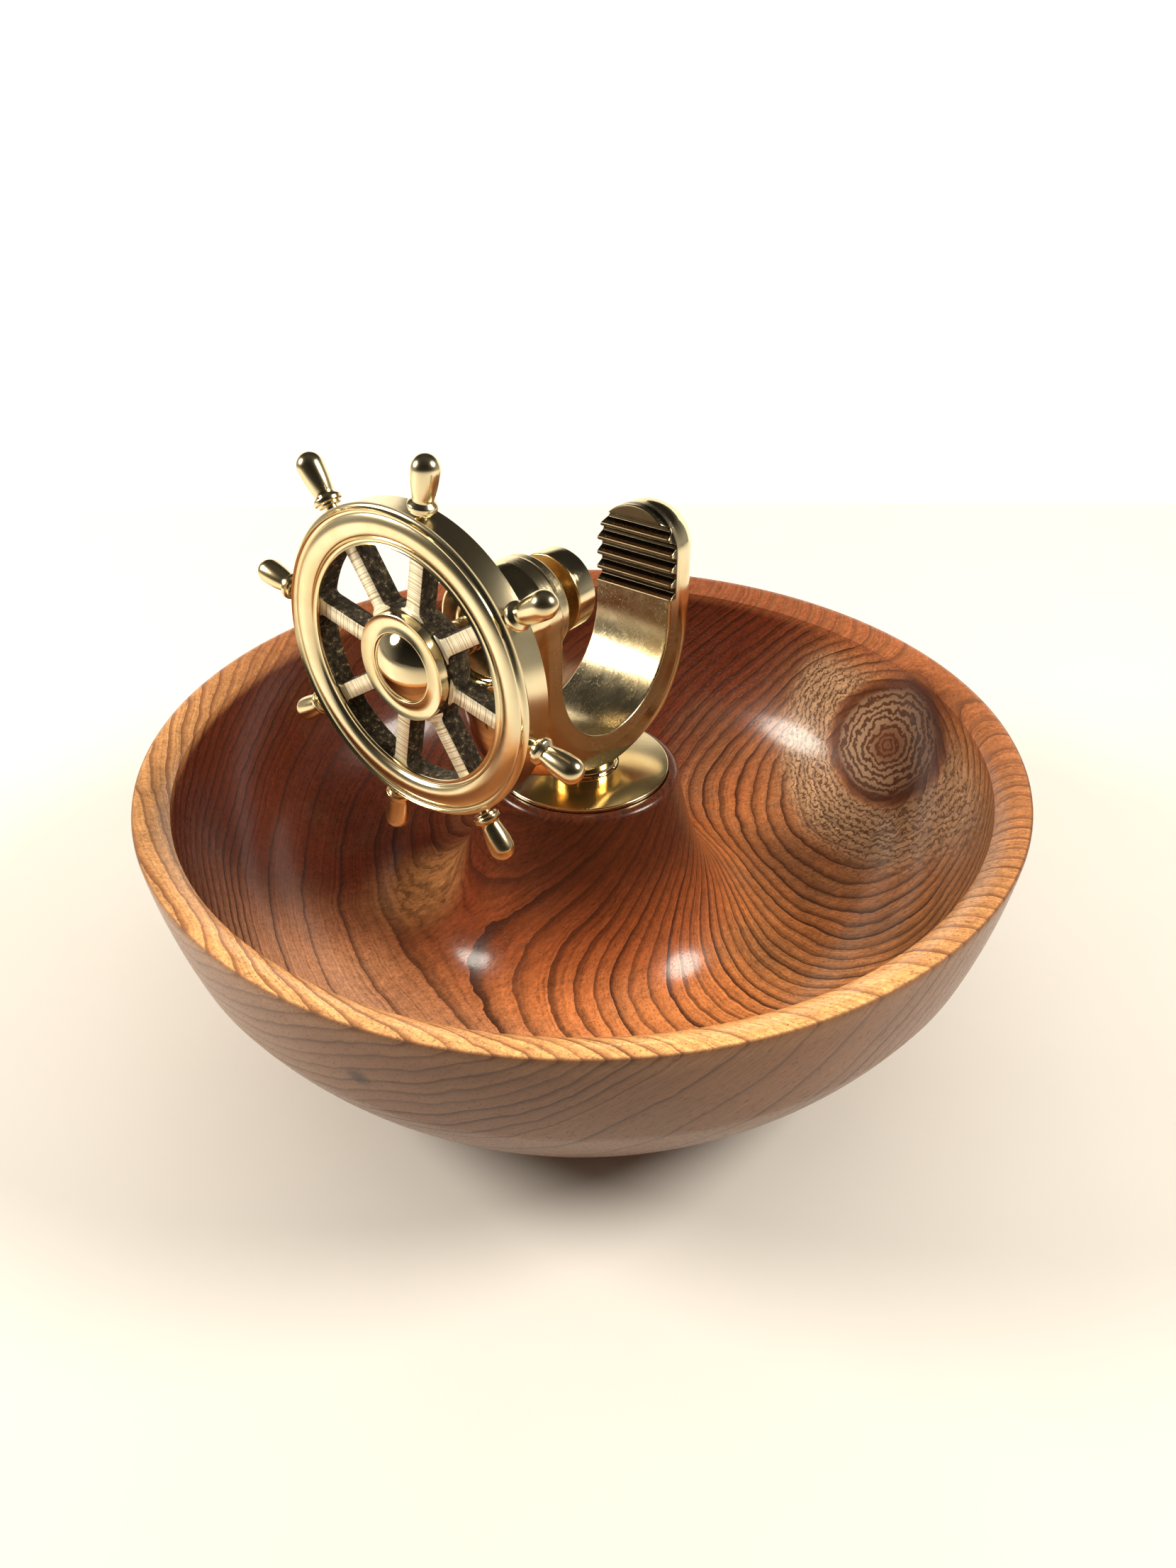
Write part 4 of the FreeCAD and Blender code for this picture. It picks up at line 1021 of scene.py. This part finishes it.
outline = [(RIM_INNER, RIM_BACK), (41.6, RIM_BACK), (41.9, RIM_BACK - 0.3), (41.9, -73.4), (42.0, -73.8)]
outline += bows((42.3, -74.1), ((41.0, -75.4), -0.38, 8), ((39.76, RIM_FRONT), -0.32, 8),
                ((34.2, RIM_FRONT), 0.75, 24))
outline += [(33.95, -74.2)] + bows((33.7, RIM_FRONT), ((32.0, RIM_FRONT), -0.48, 12))
outline += [(31.95, -74.2), (31.98, -73.7), (32.2, -73.4), (33.4, -72.6), (RIM_INNER, -72.3)]
wheel_piece("wheel_rim", outline, turned_brass_x, 256, 38.0)

outline = soften([(AXLE, DOME_BACK), (9.5, DOME_BACK), (9.5, -75.0, 0.1), (9.7, -75.05)])
outline += bow((9.75, -75.05), (14.35, -75.0), 0.58, 20)
outline += [(14.5, -74.9), (14.5, -72.3), (14.5, -71.6), (AXLE, -71.6)]
wheel_piece("wheel_hub", outline, turned_brass_x, 192, 38.0)

# %% Cast core
outline = soften([(AXLE, -62.2), (12.5, -62.2, 0.6), (15.4, RIM_BACK, 0.6), (15.5, -71.9, 0.5),
                  (14.4, -72.2), (AXLE, -72.2)], 6)
wheel_piece("wheel_core", outline, rough_brass, 160, 60.0)


# %% Spokes
def ring_faces(rings, count):
    """Quads between rings of points that follow each other along a bar or a screw."""
    faces = []
    for i in range(rings - 1):
        for j in range(count):
            k = (j + 1) % count
            faces.append((i * count + j, i * count + k, (i + 1) * count + k, (i + 1) * count + j))
    return faces


def spoke_width(reach, half=2.5, flare=1.7):
    """Half the spoke's width at a distance from the axle. It flares at the hub and at the rim."""
    gap = max(0.0, flare - (reach - 15.4), flare - (RIM_INNER - 0.1 - reach))
    return half + flare - math.sqrt(max(flare ** 2 - min(gap, flare) ** 2, 0.0))


def spoke_mesh(name, angle):
    """A flat bar from hub to rim, flared at both ends, with softened edges."""
    front, back, soft = -72.2, -66.8, 0.35
    section = [(-1, back + soft, 0), (-1, back, soft), (1, back, soft), (1, back + soft, 0),
               (1, front + soft, 0), (1, front, soft), (-1, front, soft), (-1, front + soft, 0)]
    stations = np.linspace(14.6, 34.0, 48)
    c, s = math.cos(angle), math.sin(angle)
    points = []
    for reach in stations:
        for side, depth, inset in section:
            offset = side * (spoke_width(reach) - inset)
            points.append((depth, reach * c - offset * s, SCREW + reach * s + offset * c))
    made = mesh_object(name, points, ring_faces(len(stations), len(section)), angle=50.0)
    clean(made)
    return made


# %% Spoke finish
def spoke_finish(name):
    """Milled bright on the front face, as cast on the sides and back."""
    material, shader, place = new_finish(name)
    facing = place.node("ShaderNodeNewGeometry", output="Normal")
    front = facing.dot(-RIGHT).step(0.75, 0.95)
    dark, pits, rubbed = cast_skin(place)
    ridges = from_screw_line(place).line_noise(1.8, 3.0, 0.7)
    bright = ridges.step(0.36, 0.50).mix(rgba(0.50, 0.36, 0.18), rgba(0.97, 0.88, 0.66))
    rough = (0.56 - rubbed * 0.28) * (1.0 - front) + (ridges * 0.20 + 0.22) * front
    metal = rubbed * 0.4 * (1.0 - front) + 0.6 - front * 0.15
    height = pits * 5.0 * (1.0 - front) + ridges * 0.6 * front
    feed(shader, Base_Color=front.mix(dark, bright), Roughness=rough, Metallic=metal,
         Normal=height.bump(0.0001, 0.9))
    return material


milled_brass = spoke_finish("milled_brass")
spoke_angles = [FIRST_SPOKE + 2 * math.pi / SPOKES * number for number in range(SPOKES)]
for number, angle in enumerate(spoke_angles, 1):
    dress(spoke_mesh(f"wheel_spoke_{number}", angle), milled_brass, "wheel_screw", "cast_brass", "wheel")

# %% Inside of the rim
outline = [(33.55, -66.25), (33.62, -66.25), (33.62, -72.5), (33.42, -72.5)]
outline += [(33.42 + 0.06 * math.sin(t * 2.1), -72.4 + t) for t in np.linspace(0, 6.1, 40)]
wheel_piece("wheel_rim_inside", outline, rough_brass, 256, 60.0)

# %% [markdown]
# ## Handles
# Eight turned handles are pushed into the rim in line with the spokes. Each has a thin neck, a
# stepped collar and a grip that swells to a round end. They are copies of one turned pattern.

# %% Handles
HANDLE_LINE = -71.6
GRIP_RADIUS, GRIP_MIDDLE = 3.45, 53.95
grip = soften([(0.0, 37.7), (1.7, 37.7), (1.7, 43.3, 0.2), (2.95, 43.35, 0.2), (3.0, 44.2, 0.15),
               (3.65, 44.25, 0.2), (3.65, 45.4, 0.3), (2.6, 46.3, 0.4)], 4)
grip += bow((2.58, 46.7), (GRIP_RADIUS, 53.6), -0.20, 16)
grip += [(GRIP_RADIUS * math.cos(a), GRIP_MIDDLE + GRIP_RADIUS * math.sin(a))
         for a in np.linspace(0.05, math.pi / 2, 14)]
grip[-1] = (0.0, GRIP_MIDDLE + GRIP_RADIUS)
pattern = turn("handle_pattern", grip, segments=64, angle=38.0)
handle_brass = polished_brass("handle_brass", tarnish=0.15, roughness=0.15)
for number, angle in enumerate(spoke_angles, 1):
    handle = bpy.data.objects.new(f"wheel_handle_{number}", pattern.data.copy())
    bpy.context.scene.collection.objects.link(handle)
    turned = Matrix.Rotation(angle - math.pi / 2, 4, "X")
    handle.data.transform(Matrix.Translation(Vector((HANDLE_LINE, 0.0, SCREW)) * MM) @ turned)
    dress(handle, handle_brass, "wheel_screw", "polished_brass", f"handle_{number}")
bpy.data.objects.remove(pattern)

# %% [markdown]
# ## Dome and ram
# The dome covers the screw's end and mirrors the whole room. The ram is a polished drum with turned
# rings on its face. Its back, which faces the barrel's end, is painted a darker bronze as painted
# shade and reflection.

# %% Dome
DOME_CURVE = 14.07
edge = math.asin((DOME_RADIUS - 0.05) / DOME_CURVE)
outline = [(4.0, DOME_BACK), (DOME_RADIUS, DOME_BACK), (DOME_RADIUS, -74.75)]
outline += [(DOME_CURVE * math.sin(a), DOME_FRONT + DOME_CURVE * (1 - math.cos(a)))
            for a in np.linspace(edge, 0, 30)]
outline += [(0.0, DOME_FRONT + 1.2), (4.0, DOME_FRONT + 1.2)]
dome = turn("hub_dome", outline, axis="X", segments=128)
dome_brass = polished_brass("dome_brass", tarnish=0.1, roughness=0.02)
dress(dome, dome_brass, "wheel_screw", "polished_brass", "dome_nut")

# %% Ram
SOCKET, RING_DEPTH, RING_STEP = 3.45, 0.8, 2.6
corners = [(SOCKET, RAM_BACK), (RAM_RADIUS, RAM_BACK, 0.5), (RAM_RADIUS, RAM_FACE, 0.5)]
for number in range(3):
    ring = 9.6 - number * RING_STEP
    corners += [(ring + 1.0, RAM_FACE, 0.15), (ring, RAM_FACE - RING_DEPTH, 0.15),
                (ring - 1.0, RAM_FACE, 0.15)]
outline = soften(corners + [(0.0, RAM_FACE)])
outline += [(0.0, RAM_FACE - 1.8), (SOCKET, RAM_FACE - 1.8)]
ram = turn("pressing_ram", outline, axis="X", segments=160, angle=38.0)


def ram_finish(name):
    """Mirror brass with fine turning lines, and a duller back painted a darker bronze as shade and
    reflection.
    """
    material, shader, place = new_finish(name)
    x = place.dot(RIGHT)
    back = x.step(-15.6, -16.4)
    cloud = place.noise(0.15, 4.0, 0.6)
    lines = (x + from_screw_line(place)).line_noise(7.0)
    scuffs = place.stretch(1.0, 3.0, 3.0).noise(0.9, 4.0, 0.7)
    # painted shade and reflection: the back face is coloured a darker bronze
    colour = back.mix(BRASS_PALE, rgba(0.52, 0.33, 0.13))
    colour = (cloud * 0.35).mix(colour, BRASS_DEEP)
    rough = lines * 0.08 + back * 0.14 + scuffs.step(0.5, 0.8) * 0.12 + 0.05
    feed(shader, Base_Color=colour, Roughness=rough, Normal=(lines + scuffs).bump(0.00002, 0.5),
         Metallic=1.0)
    return material


dress(ram, ram_finish("ram_brass"), "ram", "polished_brass", "ram_head")

# %% [markdown]
# ## Screw
# The screw has a real helical thread, because a bump cannot give the notched edge that shows
# against the light. The thread runs out softly at both ends, and a plain shank goes through it to
# the wheel and to the ram.

# %% Thread
PITCH, ROOT, CREST = 3.0, 3.4, 5.0
RIDGE_TOP, RIDGE_FOOT = 0.55, 0.975
THREAD_START, THREAD_END, STATION = -61.5, -18.6, 0.15
AROUND = 72


def screw_radius(phase, fade):
    """Radius of the thread at a phase of one turn, with the ridge's middle at phase 0."""
    off = abs((phase + 0.5) % 1.0 - 0.5) * PITCH
    ridge = min(max((RIDGE_FOOT - off) / (RIDGE_FOOT - RIDGE_TOP), 0.0), 1.0)
    ridge = ridge * ridge * (3 - 2 * ridge)
    return ROOT + (CREST - ROOT) * ridge * fade


def screw_points(places):
    """One ring of points at each place along the screw."""
    points = []
    for x in places:
        run_in, run_out = (x - THREAD_START - 0.2) / 1.2, THREAD_END - 0.2 - x
        fade = min(1.0, max(0.0, run_in), max(0.0, run_out))
        for step in range(AROUND):
            theta = 2 * math.pi * step / AROUND
            phase = (x + 46.8) / PITCH - (theta - math.pi / 2) / (2 * math.pi)
            radius = screw_radius(phase, fade)
            points.append((x, radius * math.cos(theta), SCREW + radius * math.sin(theta)))
    return points


places = np.arange(THREAD_START, THREAD_END, STATION)
last = (len(places) - 1) * AROUND
ends = [tuple(range(AROUND))[::-1], tuple(last + j for j in range(AROUND))]
thread = mesh_object("screw_thread", screw_points(places), ring_faces(len(places), AROUND) + ends, 60.0)
clean(thread)
dress(thread, thread_brass, "wheel_screw", "threaded_brass", "spindle")

# %% Shank
outline = [(0.0, SCREW_FRONT), (AXLE, SCREW_FRONT), (AXLE, -62.0), (3.38, -61.8), (3.38, -14.7),
           (2.6, -14.7), (2.6, -12.4), (3.4, -12.4), (3.4, SCREW_END), (0.0, SCREW_END)]
shank = turn("screw_shank", outline, axis="X", segments=64)
dress(shank, thread_brass, "wheel_screw", "threaded_brass", "spindle")

# %% [markdown]
# ## Fixings out of sight
# The stud, washer, nut, cross pin and grub screw are plain steel and are carried over as they are.
# They still get a finish of their own, since the underside is looked at too.

# %% Steel
def steel_finish(name):
    """Brushed steel with a little rust."""
    material, shader, place = new_finish(name)
    brushed = place.stretch(1.0, 1.0, 6.0).noise(1.2, 4.0, 0.7)
    rust = place.noise(0.5, 4.0, 0.6).step(0.62, 0.78)
    colour = brushed.mix(rgba(0.40, 0.40, 0.41), rgba(0.62, 0.62, 0.63))
    colour = (rust * 0.5).mix(colour, rgba(0.20, 0.12, 0.07))
    feed(shader, Base_Color=colour, Roughness=brushed * 0.2 + rust * 0.2 + 0.25,
         Normal=brushed.bump(0.00005, 0.5), Metallic=1.0)
    return material


plain_steel = steel_finish("plain_steel")
for name in ("base_stud", "base_washer", "base_nut", "ram_pin", "wheel_grub_screw"):
    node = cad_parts[name]
    node.data.materials.clear()
    node.data.materials.append(plain_steel)
print("steel pieces done")
